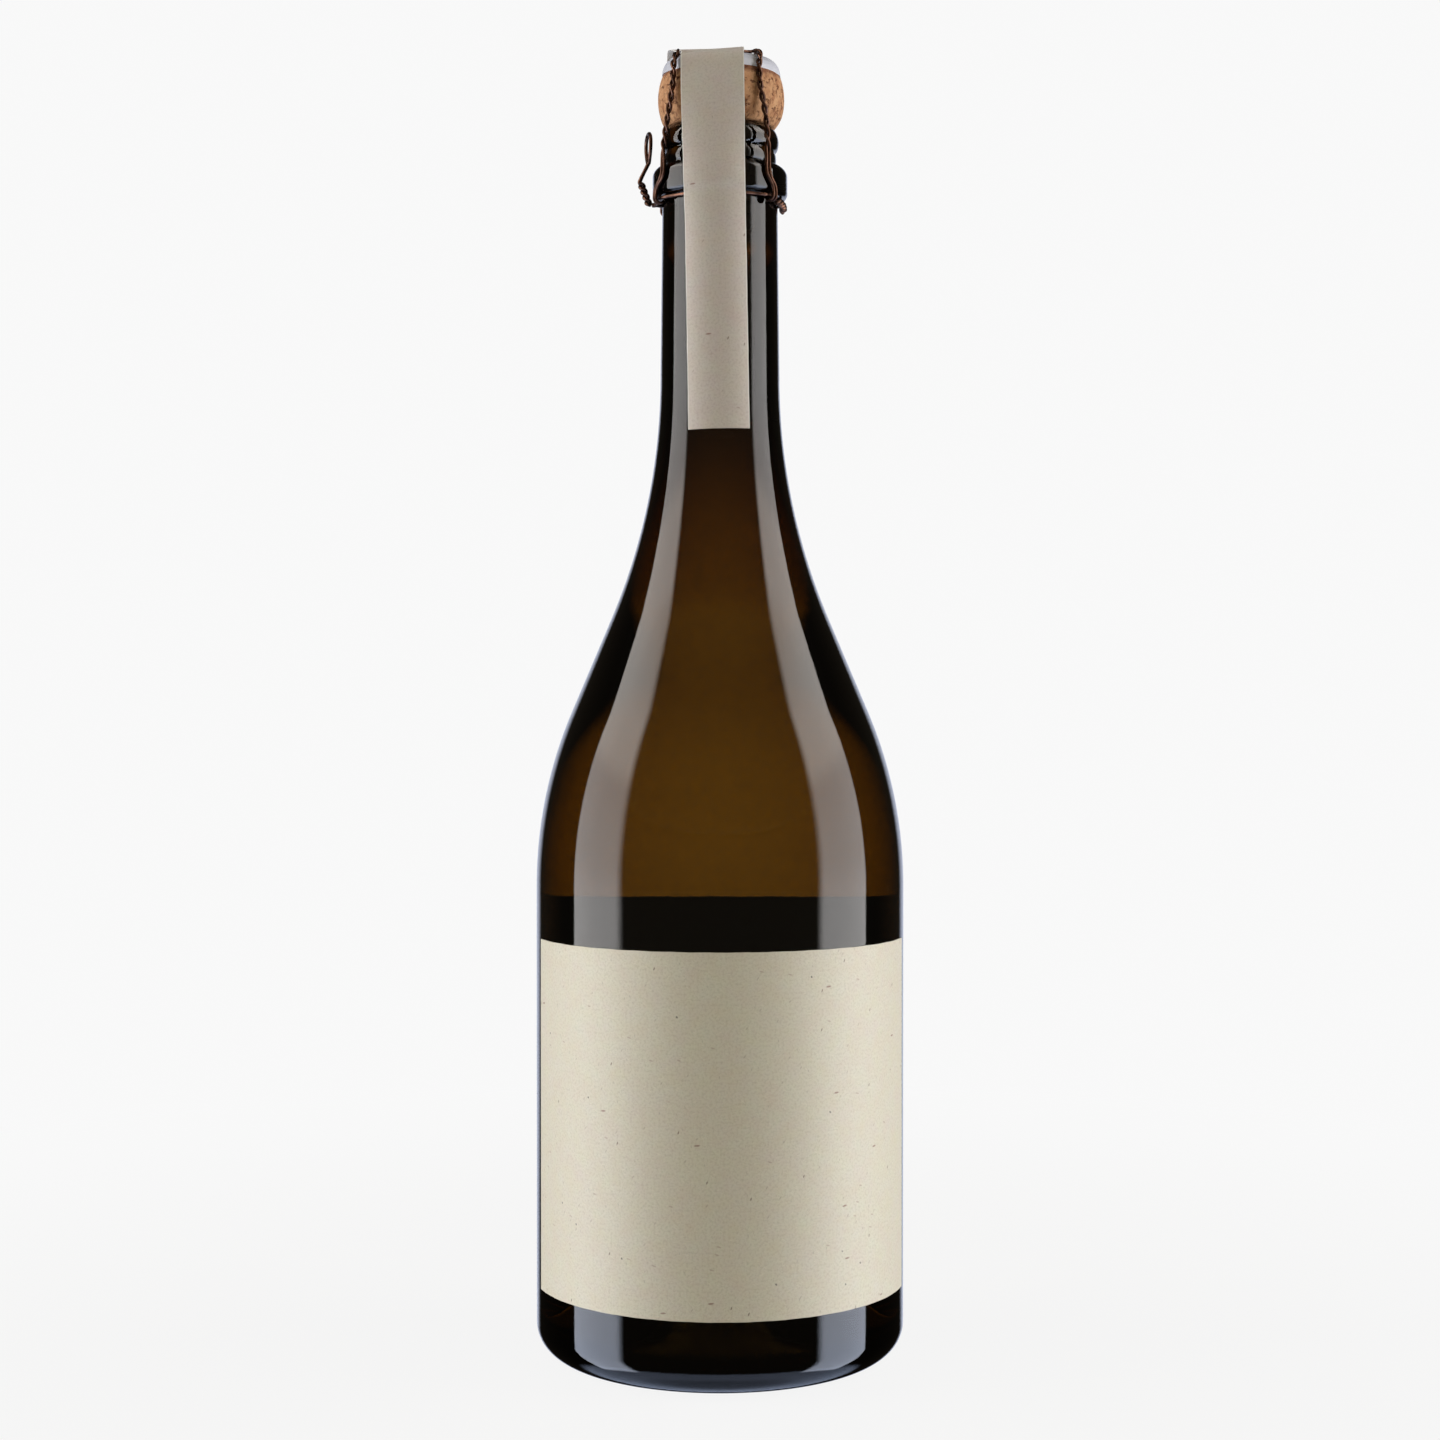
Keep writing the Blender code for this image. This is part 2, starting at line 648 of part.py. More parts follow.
def pull_loop_points():
    """One wire: up the twisted stem, round the loop and back down the stem."""
    out = polar(STEM_AZIMUTH, 1, 0)
    up = Vector((0, 0, 1))
    aside = around(STEM_AZIMUTH)
    rise = math.radians(STEM_RISE)
    along = out * math.cos(rise) + up * math.sin(rise)
    reach = (BELT_WIRE + STEM_TWIST_GAP) / 2
    count = STEM_HALF_TURNS * TURN_POINTS // 2
    line = [stem_base() + along * (STEM_LENGTH * i / count) for i in range(count + 1)]
    rising, falling = (wound(line, lambda point: aside, reach, STEM_HALF_TURNS, hand) for hand in (1, -1))
    kink = line[-1] + along * KINK_REACH
    neck = line[-1] - out * LOOP_LEAN_IN + up * LOOP_NECK
    turn = math.radians(LOOP_TURN)
    wide = aside * math.cos(turn) - out * math.sin(turn)
    loop = []
    for i in range(LOOP_POINTS + 1):
        swing = math.radians(LOOP_START_ANGLE + (360 - 2 * LOOP_START_ANGLE) * i / LOOP_POINTS)
        bow = math.sin(swing) * math.sin(swing / 2) / TEARDROP_BOW_SHARE
        loop.append(neck + wide * (LOOP_WIDTH / 2 * bow) + up * (LOOP_LENGTH * (1 - math.cos(swing)) / 2))
    return [*rising, kink + aside * reach, *loop, kink - aside * reach, *reversed(falling)]


def label(name, start, end, bottom, top, group, finish, parent):
    """A label laid on the body between two azimuths and two heights."""
    radius = BODY_RADIUS + GAP
    cells = round(math.radians(end - start) * radius / LABEL_CELL)
    return sheet(
        name,
        lambda across, along: polar(start + (end - start) * across, radius, bottom + (top - bottom) * along),
        cells,
        1,
        group,
        finish,
        parent,
    )


def strip_keys():
    """Places of the strip's inner side, up the front, over the ring and the cap and down the back.

    Each holds a share of the turn from front to back, a share of its lean at the top, how far it lies to the
    front, its height, and a share of the neck's roundness across it.
    """
    lay = GAP + STRIP_SLACK
    over_belt = belt_radius() + BELT_WIRE / 2 + lay
    over_collar = COLLAR_RADIUS + lay
    over_bulge = CORK_HEAD_RADIUS + lay
    over_edge = CAP_RADIUS + lay
    shelf = BOTTLE_HEIGHT - COLLAR_TOP_DEPTH - COLLAR_TOP_ROUNDING
    under = collar_bottom() + COLLAR_BOTTOM_ROUNDING
    round_under = COLLAR_BOTTOM_ROUNDING + lay
    aslant = math.sqrt(0.5)
    below_belt = belt_height() - STRIP_BRIDGE
    bulge = BOTTLE_HEIGHT + CORK_BULGE_HEIGHT
    clear = CAGE_WIRE / 2 + GAP + STRIP_SLACK / 4
    made = []
    for hand, depth, ring in ((1, STRIP_FRONT_DEPTH, ring_point(0)), (-1, STRIP_BACK_DEPTH, ring_point(180))):
        turn = (1 - hand) / 2
        edge = on_cap(90 - 90 * hand, over_edge, 0).z
        side = []
        for i in range(NECK_KEYS + 1):
            lowest = BOTTLE_HEIGHT - depth
            height = lowest + (below_belt - lowest) * i / NECK_KEYS
            side.append((turn, 0, glass_radius(height) + lay, height, 1))
        side += [
            (turn, 0, over_belt, belt_height() - BELT_WIRE / 2, 1),
            (turn, 0, over_belt, belt_height() + BELT_WIRE / 2, 1),
            (turn, 0, over_collar - round_under * (1 - aslant), under - round_under * aslant, 1),
            (turn, 0, over_collar, under, 1),
            (turn, 0, over_collar, shelf, 1),
        ]
        upper = [((over_collar + over_bulge) / 2, BOTTLE_HEIGHT), (over_bulge, bulge), (over_edge, edge)]
        for rise, draw in zip(STRIP_RISE_SHARES, STRIP_DRAW_SHARES):
            upper.append((over_edge - CAP_SHOULDER_HEIGHT * draw, edge + CAP_SHOULDER_HEIGHT * rise))
        for (reach, height), lean, roundness in zip(upper, STRIP_LEAN_SHARES, STRIP_ROUND_SHARES):
            side.append((turn, lean, reach, height, roundness))
        side += [
            (turn, 1, abs(ring.y) + clear + CAGE_WIRE / 2, ring.z - CAGE_WIRE / 2, 0),
            (turn, 1, abs(ring.y) + clear, ring.z + CAGE_WIRE / 4, 0),
            (turn, 1, abs(ring.y), ring.z + clear, 0),
        ]
        made += [(a, b, c * hand, d, e) for a, b, c, d, e in side][::hand]
    middle = len(made) // 2
    front, back = made[middle - 1], made[middle]
    across_top = []
    for i in range(1, TOP_KEYS):
        across_top.append(tuple(a + (b - a) * i / TOP_KEYS for a, b in zip(front, back)))
    return made[:middle] + across_top + made[middle:]


def strip_stations():
    """Along the strip, its middle, the direction of its width, its outward direction and its bend across."""
    rows = strip_keys()
    middles = []
    for turn_share, lean, reach, height, _ in rows:
        turn = STRIP_FRONT_TURN + (STRIP_BACK_TURN - STRIP_FRONT_TURN) * turn_share
        shift = STRIP_FRONT_SHIFT + (STRIP_BACK_SHIFT - STRIP_FRONT_SHIFT) * turn_share
        middles.append((turn, polar(turn, reach, height) - Vector((shift * lean, 0, 0))))
    made = []
    last = len(rows) - 1
    for i, (turn, middle) in enumerate(middles):
        ahead = (middles[min(i + 1, last)][1] - middles[max(i - 1, 0)][1]).normalized()
        wide = around(turn) + Vector((0, 0, math.tan(math.radians(STRIP_TILT * rows[i][1]))))
        wide = (wide - ahead * wide.dot(ahead)).normalized()
        out = polar(turn, math.copysign(1, rows[i][2]), 0)
        made.append((middle, wide, out, rows[i][4] / abs(rows[i][2]) if rows[i][4] > 0 else 0))
    return made


def seal_strip(group, finish, parent):
    """The paper strip that is glued over the cork and down both sides of the neck."""
    stations = strip_stations()
    last = len(stations) - 1

    def surface(across, along):
        middle, wide, out, bend = stations[round(along * last)]
        aside = STRIP_WIDTH * (across - 0.5)
        if bend * PAPER < FLAT_SHARE:
            return middle + wide * aside
        return middle + wide * (math.sin(aside * bend) / bend) - out * ((1 - math.cos(aside * bend)) / bend)

    return sheet("seal_strip", surface, STRIP_CELLS, last, group, finish, parent)


def main():
    pieces, cutters = tidy_scene()
    glass = material("amber_glass", (0.055, 0.030, 0.004), 0.03, transmission=1.0)
    cork = material("agglomerated_cork", (0.52, 0.29, 0.15), 0.75)
    natural_cork = material("natural_cork", (0.60, 0.38, 0.22), 0.75)
    cap_metal = material("lacquered_steel", (0.52, 0.53, 0.58), 0.35, metallic=0.4)
    cage_metal = material("bronzed_steel", (0.16, 0.09, 0.05), 0.35, metallic=1.0)
    label_paper = material("label_paper", (0.62, 0.58, 0.48), 0.85)
    strip_paper = material("strip_paper", (0.36, 0.31, 0.26), 0.85)

    lip = (0, 0, BOTTLE_HEIGHT)
    cork_carrier = carrier("cork_carrier", pieces, lip)
    cage_carrier = carrier("cage_carrier", pieces, lip)
    seal_carrier = carrier("seal_carrier", pieces, lip)

    turned("bottle", bottle_outline(), BOTTLE_STEPS, pieces, glass, None)
    label_top = LABEL_BOTTOM + LABEL_HEIGHT
    label("front_label", *LABEL_SPAN, LABEL_BOTTOM, label_top, pieces, label_paper, None)
    half = math.degrees(BACK_LABEL_WIDTH / 2 / BODY_RADIUS)
    back_bottom = BACK_LABEL_TOP - BACK_LABEL_HEIGHT
    label("back_label", 180 - half, 180 + half, back_bottom, BACK_LABEL_TOP, pieces, label_paper, None)

    cork_body = turned("cork_body", cork_outline(), CORK_STEPS, pieces, cork, cork_carrier, lip)
    cut_for_cap(cork_body, cutters, cork)
    upper = cork_shank() + GAP
    for name, top in (("cork_disc_upper", upper), ("cork_disc_lower", upper + CORK_DISC + GAP)):
        turned(name, disc_outline(top), CORK_STEPS, pieces, natural_cork, cork_carrier, lip)

    shell = cap_outline() + inset(cap_outline(), CAP_SHEET)[::-1]
    cap = turned("metal_cap", shell, CAP_STEPS, pieces, cap_metal, cage_carrier, (0, 0, cap_height()))
    set_on_cork(cap)
    wire("cage_wire", cage_points(), CAGE_WIRE, pieces, cage_metal, cage_carrier, lip, closed=True)
    wire("belt_front", belt_front_points(), BELT_WIRE, pieces, cage_metal, cage_carrier, lip)
    wire("belt_back", belt_back_points(), BELT_WIRE, pieces, cage_metal, cage_carrier, lip)
    base = tuple(stem_base())
    wire("pull_loop", pull_loop_points(), BELT_WIRE, pieces, cage_metal, cage_carrier, base)
    seal_strip(pieces, strip_paper, seal_carrier)


main()
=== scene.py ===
"""Looks of the sparkling-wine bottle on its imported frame. Metres, +Z up, front label towards -Y.

Azimuths are degrees about the bottle's axis, from the front, positive towards +X. Each piece is a grid of
points worked out at once: its docstring gives the formula.
"""

import math

import bmesh
import bpy
import numpy as np
from mathutils import Matrix, Vector


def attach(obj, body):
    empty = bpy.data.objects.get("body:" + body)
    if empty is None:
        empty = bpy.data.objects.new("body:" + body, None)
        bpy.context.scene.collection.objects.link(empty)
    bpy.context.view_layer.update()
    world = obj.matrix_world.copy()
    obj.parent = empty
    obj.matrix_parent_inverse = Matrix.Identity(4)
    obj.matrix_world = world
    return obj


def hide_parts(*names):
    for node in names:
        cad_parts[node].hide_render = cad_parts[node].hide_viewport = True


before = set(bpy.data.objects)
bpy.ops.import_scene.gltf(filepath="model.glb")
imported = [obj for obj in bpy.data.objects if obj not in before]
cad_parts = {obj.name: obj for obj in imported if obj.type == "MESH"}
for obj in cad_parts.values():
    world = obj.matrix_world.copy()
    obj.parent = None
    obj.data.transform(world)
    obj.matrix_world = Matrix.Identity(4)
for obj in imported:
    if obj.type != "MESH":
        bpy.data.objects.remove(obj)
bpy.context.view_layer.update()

# Glass: the shoulder is its height, its arc and its slope, the punt its height and its tip's radius, and the
# walls are those of the body, the neck and the base
HEIGHT = 0.2960
BODY = 0.0444
SHOULDER = (0.1134, 0.1071, 23.05)
NECK_ARC = 0.1502
NECK_ROOT = 0.01439
NECK_TOP = 0.01394
HEEL = (0.0090, 0.0080)
REST_BEND = (0.0030, 0.0024)
PUNT = (0.0300, 0.0085)
PUNT_FOOT_REACH = 0.0090
PUNT_FOOT = 0.0060
WALLS = (0.0043, 0.0068, 0.0060)
WALL_GROWTH = 0.6
MOUTH = 0.0089
MOUTH_ROUNDING = 0.0008
BORE_DEPTHS = (0.0300, 0.0345)
BORE_TAPER = 0.0001
LIP_TOP = 0.0121
LIP = 0.0142
LIP_DEPTH = 0.0034
LIP_UNDER = 0.0021
GROOVE = 0.0131
BEAD = 0.0136
BEAD_DEPTH = 0.0074
BEAD_BEND = (0.0007, 0.0019)
SHELF_BEND = (0.0008, 0.0006)
COLLAR = 0.0163
COLLAR_DEPTHS = (0.0093, 0.0169)
COLLAR_ROUNDINGS = (0.0024, 0.0013)
NECK_BEND = 0.0006
GLASS_POINTS = 0.004

# Wine
WINE_LEVEL = 0.2260
WINE_OVERLAP = 0.00005
MENISCUS = (0.0016, 0.0014)

# Cork: its bend is the reach of the bulge, and its heights below and above the widest line
GAP = 0.0003
CORK = 0.01527
BULGE = 0.0071
CORK_BEND = (0.0039, 0.0075, 0.0081)
CORK_INSERTED = 0.0240
CORK_FOOT = (0.0004, 0.0012, 0.0010)
CORK_DISC = 0.0055
DISC_ROUNDING = 0.0007
CORK_DENT_SHARE = 0.003
CORK_DENT_HEIGHTS = (0.0005, 0.0060, 0.0050)
HEAD_SHIFT = 0.0003
HEAD_SHIFT_RISE = 0.0030
# Painted shade below the cap's edge: the depths below the edge where it starts and where it is at its darkest
PAINTED_CAP_SHADE = (0.0011, 0.0002)
CORK_POINTS = 0.0006
DISC_POINTS = 0.0020

# Cap: the heights of its crown and groove count from its edge, and its tilt is to the front and to the right
CAP = 0.0143
CAP_EDGE = 0.3090
CAP_TILT = (4.6, 0.9)
CAP_DOME = 0.0041
CAP_GROOVE = 0.0106
CAP_SHEET = 0.00035
CAP_SEAT = 0.00005
CROWN_FLAT = 0.0080
CROWN_CENTRE = (0.0083, 0.0045)
CROWN_BEND = (0.0006, 0.0004)
GROOVE_CENTRE = (0.0099, 0.0044)
GROOVE_BEND = (0.0008, 0.0007)
CAP_POINTS = 0.0008
HOLLOW_POINTS = 0.0010

# Cage: the ring is its radius, its shift to the left and its height, and a leg's azimuths are those at the
# ring, the cap's edge, the cork, the lip, the collar and its hook
CAGE_WIRE = 0.00075
CAGE_TWIST = 0.0001
CAGE_HALF_TURNS = 10
RING = (0.0100, 0.0011, 0.3137)
RING_TILT = (6.7, 3.0)
CORNER_REACH = 0.0009
CORNER_LENGTH = 0.0020
DOME_ANGLES = (55, 22, 0)
UNTWIST_DEPTH = 0.0072
HOOK_TURN = 125
EYE = 0.0005
LEGS = (
    (-53, -46, -44, -49, -53, -66),
    (60, 37, 36, 41, 42, 50),
    (116, 118, 126, 130, 133, 138),
    (240, 236, 232, 230, 231, 236),
)

# Belt and pull loop
BELT_WIRE = 0.0009
BELT_BULGE = 18
BELT_END = 12
BELT_STEP = 3.0
SPLICE = (62, 94)
SPLICE_SAG = 0.0009
SPLICE_HALF_TURNS = 5
STEM = (-0.01715, 0.0, 0.27795)
STEM_AZIMUTH = -90.0
STEM_RISE = 69
STEM_LENGTH = 0.0055
STEM_HALF_TURNS = 4
KINK = 0.0007
LOOP_LEAN = 0.0018
LOOP_NECK = 0.0040
LOOP_TURN = 11
LOOP_WIDTH = 0.0070
LOOP_LENGTH = 0.0080
LOOP_START = 40

# Where the wires lie
BELT_Z = HEIGHT - COLLAR_DEPTHS[1] - GAP - BELT_WIRE / 2
BELT_R = NECK_TOP + GAP + BELT_WIRE / 2
HOOK = (BELT_WIRE + CAGE_WIRE) / 2 + GAP + CAGE_TWIST
FOOT_R = NECK_TOP + GAP + CAGE_WIRE / 2 + HOOK
BESIDE = COLLAR + GAP + CAGE_WIRE / 2
SHELF_Z = HEIGHT - COLLAR_DEPTHS[0] - COLLAR_ROUNDINGS[0]
UNDER_Z = HEIGHT - COLLAR_DEPTHS[1] + COLLAR_ROUNDINGS[1]

# Labels: azimuths of the edges, then the heights of the edges
PAPER = 0.00012
FRONT_LABEL = (-72.5, 76.6, 0.0182, 0.1015)
BACK_LABEL_HALF = math.degrees(0.0450 / BODY)
BACK_LABEL = (180 - BACK_LABEL_HALF, 180 + BACK_LABEL_HALF, 0.0305, 0.1085)
LABEL_LIFT = 0.00006
LABEL_WAVE = 0.00002
LABEL_EDGE_TURN = 4
LABEL_EDGE_REACH = 0.0040
LABEL_JAGS = (0.00003, 0.00002)

# Strip: depths of its ends below the mouth at the front and the back, its turns there, how far it leans for
# each metre of height, and how its top bows up and sways to the left. The flat coordinates of its underside
# are set off by a distance, and it is white there and along its cut edges.
UNDERSIDE = 1.0
CUT_EDGE = 0.0002
STRIP_WIDTH = 0.0150
STRIP_DEPTHS = (0.0737, 0.0700)
STRIP_TURNS = (-2.4, 14.0)
STRIP_LEAN_FROM = 0.2415
STRIP_LEAN = 0.018
STRIP_TILT = 3.0
STRIP_SLACK = 0.0002
STRIP_BRIDGE = 0.0090
STRIP_DRAW_SHARES = (0.11, 0.33)
STRIP_RISE_SHARES = (0.55, 0.92)
STRIP_LEAN_SHARES = (0.3, 0.6, 0.8, 0.9, 0.95)
STRIP_ROUND_SHARES = (0.6, 0.3, 0.15, 0.05, 0)
BACK_SHIFT = 0.0032
SNUG = 0.00042
BOW = 0.0017
BOW_PEAK = 1.6
SWAY = 0.0024
TEAR_HEIGHT = 0.2660
STRIP_STEP = 0.0006
STRIP_WAVE = 0.00004
LEAST_BEND_RADIUS = 0.0040
FLAT_BEND = 0.01

# Steps round the turned pieces and sides of the wires
GLASS_STEPS = 160
WINE_STEPS = 128
CORK_STEPS = 160
DISC_STEPS = 96
CAP_STEPS = 144
CAGE_SIDES = 10
BELT_SIDES = 12

# Angle between faces from which an edge looks sharp
SHARP = math.radians(55)

# Latitudes of the points on a wire's domed end, and how much of its round it stands out
WIRE_DOME = (80, 55, 28)
WIRE_DOME_SHARE = 0.6

# Studio: azimuths in degrees from the front, heights and depths as parts of a ray's unit direction. A step is
# where it starts and ends, and its values there unless they are 0 and 1. The panels' tones go by height.
PANEL_INNER = (61.0, 68.0)
PANEL_OUTER = (101.0, 103.0, 1.0, 0.0)
PANEL_FOOT = (-0.76, -0.70)
PANEL_HEAD = (0.55, 0.85, 1.0, 0.04)
PANEL_TONES = (
    (-0.30, (3.7, 4.1, 5.0)),
    (-0.12, (4.3, 4.2, 4.15)),
    (0.09, (3.5, 3.45, 3.4)),
    (0.32, (3.3, 3.15, 3.05)),
    (0.42, (4.4, 4.1, 3.8)),
)
RIM_LIGHT = (0.66, 0.72, 0.90)
RIM_REACH = (0.86, 0.94)
TABLE_GLINT = (0.60, 0.72, 1.0)
TABLE_NEAR = (-0.99, -0.86, 0.5, 1.0)
TABLE_FAR = (-0.64, -0.72)
DARK_ROOM = (0.115, 0.095, 0.070)
ROOM_REACH = (-0.4, 0.4, 1.0, 0.25)
ROOM_FOOT = (-0.24, -0.14, 0.4, 1.0)
BACKDROP = 0.943
BEHIND = 0.86
BACKDROP_REACH = (0.54, 0.86)
BACKDROP_RISE = (-0.14, 0.13, 1.0, 0.06)
BACKDROP_FALL = (-0.34, -0.17, 0.75, 1.0)
BACKDROP_FOOT = (-0.37, -0.30)
FILL_COLOUR = (1.0, 0.91, 0.68)
FILL = (0.4, -0.4, 0.10, 0.288)
FLOOR_SHADE = 0.06
FLOOR_REACH = (0.08, 0.40)
# Painted shade: within this reach of the axis the floor is black to rays through the glass
PAINTED_SHADE_REACH = 0.40
FLOOR_RADIUS = 2.2
FLOOR_STEPS = 96
SOFTBOX_DISTANCE = 0.80
SOFTBOX_HEIGHT = 0.45
SOFTBOX_SIZE = (0.52, 1.7)
SOFTBOX_COLOUR = (1.0, 0.99, 0.97)
SOFTBOXES = (("left_softbox", -84, 7.6), ("right_softbox", 84, 7.9))

# Camera: the focal length is in the photo's pixels
PHOTO_SIDE = 1440
PHOTO_FOCAL = 2432.4
SENSOR = 36
CAMERA_PLACE = (0, -0.59023, 0.15935)
CAMERA_DIP = 0.587


def polar(azimuth, radius, height):
    """Points at azimuths in degrees: (r sin a, -r cos a, z)."""
    turn = np.radians(azimuth)
    azimuth, radius, height = np.broadcast_arrays(turn, radius, height)
    return np.stack([radius * np.sin(azimuth), -radius * np.cos(azimuth), height], -1)


def around(azimuth):
    """Level directions in which the azimuth grows."""
    turn = np.radians(azimuth)
    return np.stack([np.cos(turn), np.sin(turn), 0 * turn], -1)


def unit(v):
    """Vectors made one long."""
    return v / np.linalg.norm(v, axis=-1, keepdims=True)


def arc(centre, reach, start, end, count):
    """Outline points (r, z) = centre + reach (cos t, sin t) for t from start to end in degrees."""
    t = np.radians(np.linspace(start, end, count))
    return np.stack([centre[0] + reach[0] * np.cos(t), centre[1] + reach[1] * np.sin(t)], -1)


def smooth(keys, steps):
    """Catmull-Rom curve through the keys, with that many steps a span."""
    keys = np.asarray(keys, float)
    ends = np.concatenate([[2 * keys[0] - keys[1]], keys, [2 * keys[-1] - keys[-2]]])
    a, b, c, d = ends[:-3, None], ends[1:-2, None], ends[2:-1, None], ends[3:, None]
    t = (np.arange(steps) / steps)[None, :, None]
    rows = (2 * b + (c - a) * t + (2 * a - 5 * b + 4 * c - d) * t**2 + (3 * b - a - 3 * c + d) * t**3) / 2
    return np.concatenate([rows.reshape(-1, keys.shape[1]), keys[-1:]])


def even(line, count):
    """Count points evenly spaced along a line."""
    length = run_along(line)
    want = np.linspace(0, length[-1], count)
    return np.stack([np.interp(want, length, column) for column in line.T], -1)


def finer(outline, spacing):
    """Points along a polyline no further apart than the spacing, its corners kept."""
    made = [outline[:1]]
    for a, b in zip(outline, outline[1:]):
        n = max(1, math.ceil(np.linalg.norm(b - a) / spacing))
        made.append(a + (b - a) * (np.arange(1, n + 1) / n)[:, None])
    return np.concatenate(made)


def mesh_piece(name, points, looks, body, slot, closed=False, uv=None, replaced=()):
    """A piece from a grid of points, a quad a cell, riding on a body of the frame.

    Each row of the grid closes in a ring, and the rows do so too where the piece is closed.
    """
    rows, columns = points.shape[:2]
    i, j = np.meshgrid(np.arange(rows if closed else rows - 1), np.arange(columns), indexing="ij")
    k, m = (i + 1) % rows, (j + 1) % columns
    quads = np.stack([i * columns + j, i * columns + m, k * columns + m, k * columns + j], -1).reshape(-1, 4)
    data = bpy.data.meshes.new(name)
    data.from_pydata(points.reshape(-1, 3).tolist(), [], quads.tolist())
    if uv is not None:
        layer = data.uv_layers.new(name="UVMap")
        u, v = uv
        far_u = np.where(m < j, u[-1] + (u[1] - u[0]), u[m])
        corners = np.stack([u[j], v[i], far_u, v[i], far_u, v[k], u[j], v[k]], -1)
        layer.data.foreach_set("uv", corners.reshape(-1))
    work = bmesh.new()
    work.from_mesh(data)
    bmesh.ops.remove_doubles(work, verts=work.verts, dist=2e-7)
    work.to_mesh(data)
    work.free()
    data.shade_smooth()
    data.set_sharp_from_angle(angle=SHARP)
    made = bpy.data.objects.new(name, data)
    bpy.context.scene.collection.objects.link(made)
    data.materials.append(looks)
    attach(made, body)
    for node in replaced:
        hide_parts(node)
    return made


def run_along(line):
    """Distances along a line from its first point."""
    return np.concatenate([[0], np.cumsum(np.linalg.norm(np.diff(line, axis=0), axis=1))])


def turned(outline, steps):
    """Outline (r, z) turned: point i, j = (r_i sin a_j, -r_i cos a_j, z_i), a_j in equal turns."""
    turn = -360 * np.arange(steps) / steps
    return polar(turn[None, :], outline[:, :1], outline[:, 1:])


def lathe(name, outline, steps, looks, body, **extra):
    """A turned outline with flat coordinates round it and along it."""
    flat = (np.arange(steps) / steps * 2 * np.pi * outline[:, 0].max(), run_along(outline))
    mesh_piece(name, turned(outline, steps), looks, body, uv=flat, **extra)


def tube(name, line, diameter, sides, looks, body, closed=False, **extra):
    """Round wire: P(i, j) = line_i + radius_i (cos b_j side_i + sin b_j (ahead_i x side_i)).

    The side direction is carried along the line without turning. Open ends are domed.
    """
    ahead = unit(np.roll(line, -1, 0) - np.roll(line, 1, 0) if closed else np.gradient(line, axis=0))
    side = np.zeros_like(line)
    start = np.cross(ahead[0], (0.0, 0.3, 1.0))
    for i, way in enumerate(ahead):
        start = start - way * start.dot(way)
        start = start / np.linalg.norm(start)
        side[i] = start
    radius = np.full(len(line), diameter / 2)
    twist = 0.0
    if closed:
        last = side[-1] - ahead[0] * side[-1].dot(ahead[0])
        slip = math.atan2(np.cross(last, side[0]).dot(ahead[0]), last.dot(side[0]))
        twist = slip * np.arange(len(line))[:, None] / len(line)
    else:
        dome = np.radians(WIRE_DOME)
        step = WIRE_DOME_SHARE * diameter / 2 * np.sin(dome)[:, None]
        line = np.concatenate([line[0] - ahead[0] * step, line, line[-1] + ahead[-1] * step[::-1]])
        radius = np.concatenate([radius[0] * np.cos(dome), radius, radius[-1] * np.cos(dome)[::-1]])
        side, ahead = (np.pad(way, ((len(dome),) * 2, (0, 0)), "edge") for way in (side, ahead))
    turn = 2 * np.pi * np.arange(sides) / sides + twist
    turn = np.broadcast_to(turn, (len(line), sides))
    up = np.cross(ahead, side)
    rim = np.cos(turn)[..., None] * side[:, None] + np.sin(turn)[..., None] * up[:, None]
    points = line[:, None] + radius[:, None, None] * rim
    flat = (np.arange(sides) / sides * diameter * np.pi, run_along(line))
    made = mesh_piece(name, points, looks, body, closed=closed, uv=flat, **extra)
    if not closed:
        work = bmesh.new()
        work.from_mesh(made.data)
        bmesh.ops.holes_fill(work, edges=work.edges, sides=sides)
        work.to_mesh(made.data)
        work.free()
        made.data.shade_smooth()


def wound(line, side, reach, half_turns, hand):
    """Strand of a pair: line_i + hand reach (cos t_i side_i + sin t_i side_i x ahead_i).

    The angle t grows evenly along the line, by a half turn for each of the half turns.
    """
    ahead = unit(np.gradient(line, axis=0))
    side = unit(side - ahead * (side * ahead).sum(1, keepdims=True))
    t = (np.pi * half_turns * np.linspace(0, 1, len(line)))[:, None]
    return line + (side * np.cos(t) + np.cross(side, ahead) * np.sin(t)) * reach * hand


def flank(wall, neck_wall, count):
    """Side of the bottle from the shoulder to the neck's root: two arcs joined by a cone, walls inside."""
    height, big, slope = SHOULDER
    turn = math.radians(slope)
    drop = (big + NECK_ARC) * (1 - math.cos(turn))
    cone = (BODY - NECK_ROOT - drop) / math.sin(turn)
    inside = big - wall
    low = arc((BODY - big, height), (inside, inside), 0, slope, count)
    rise = (big + NECK_ARC) * math.sin(turn) + cone * math.cos(turn)
    t = np.linspace(0, 1, count)
    reach = NECK_ARC + wall + (neck_wall - wall) * t**WALL_GROWTH
    angle = np.radians(180 + slope * (1 - t))
    high = np.stack([NECK_ROOT + NECK_ARC + reach * np.cos(angle), height + rise + reach * np.sin(angle)], -1)
    return np.concatenate([low, high])


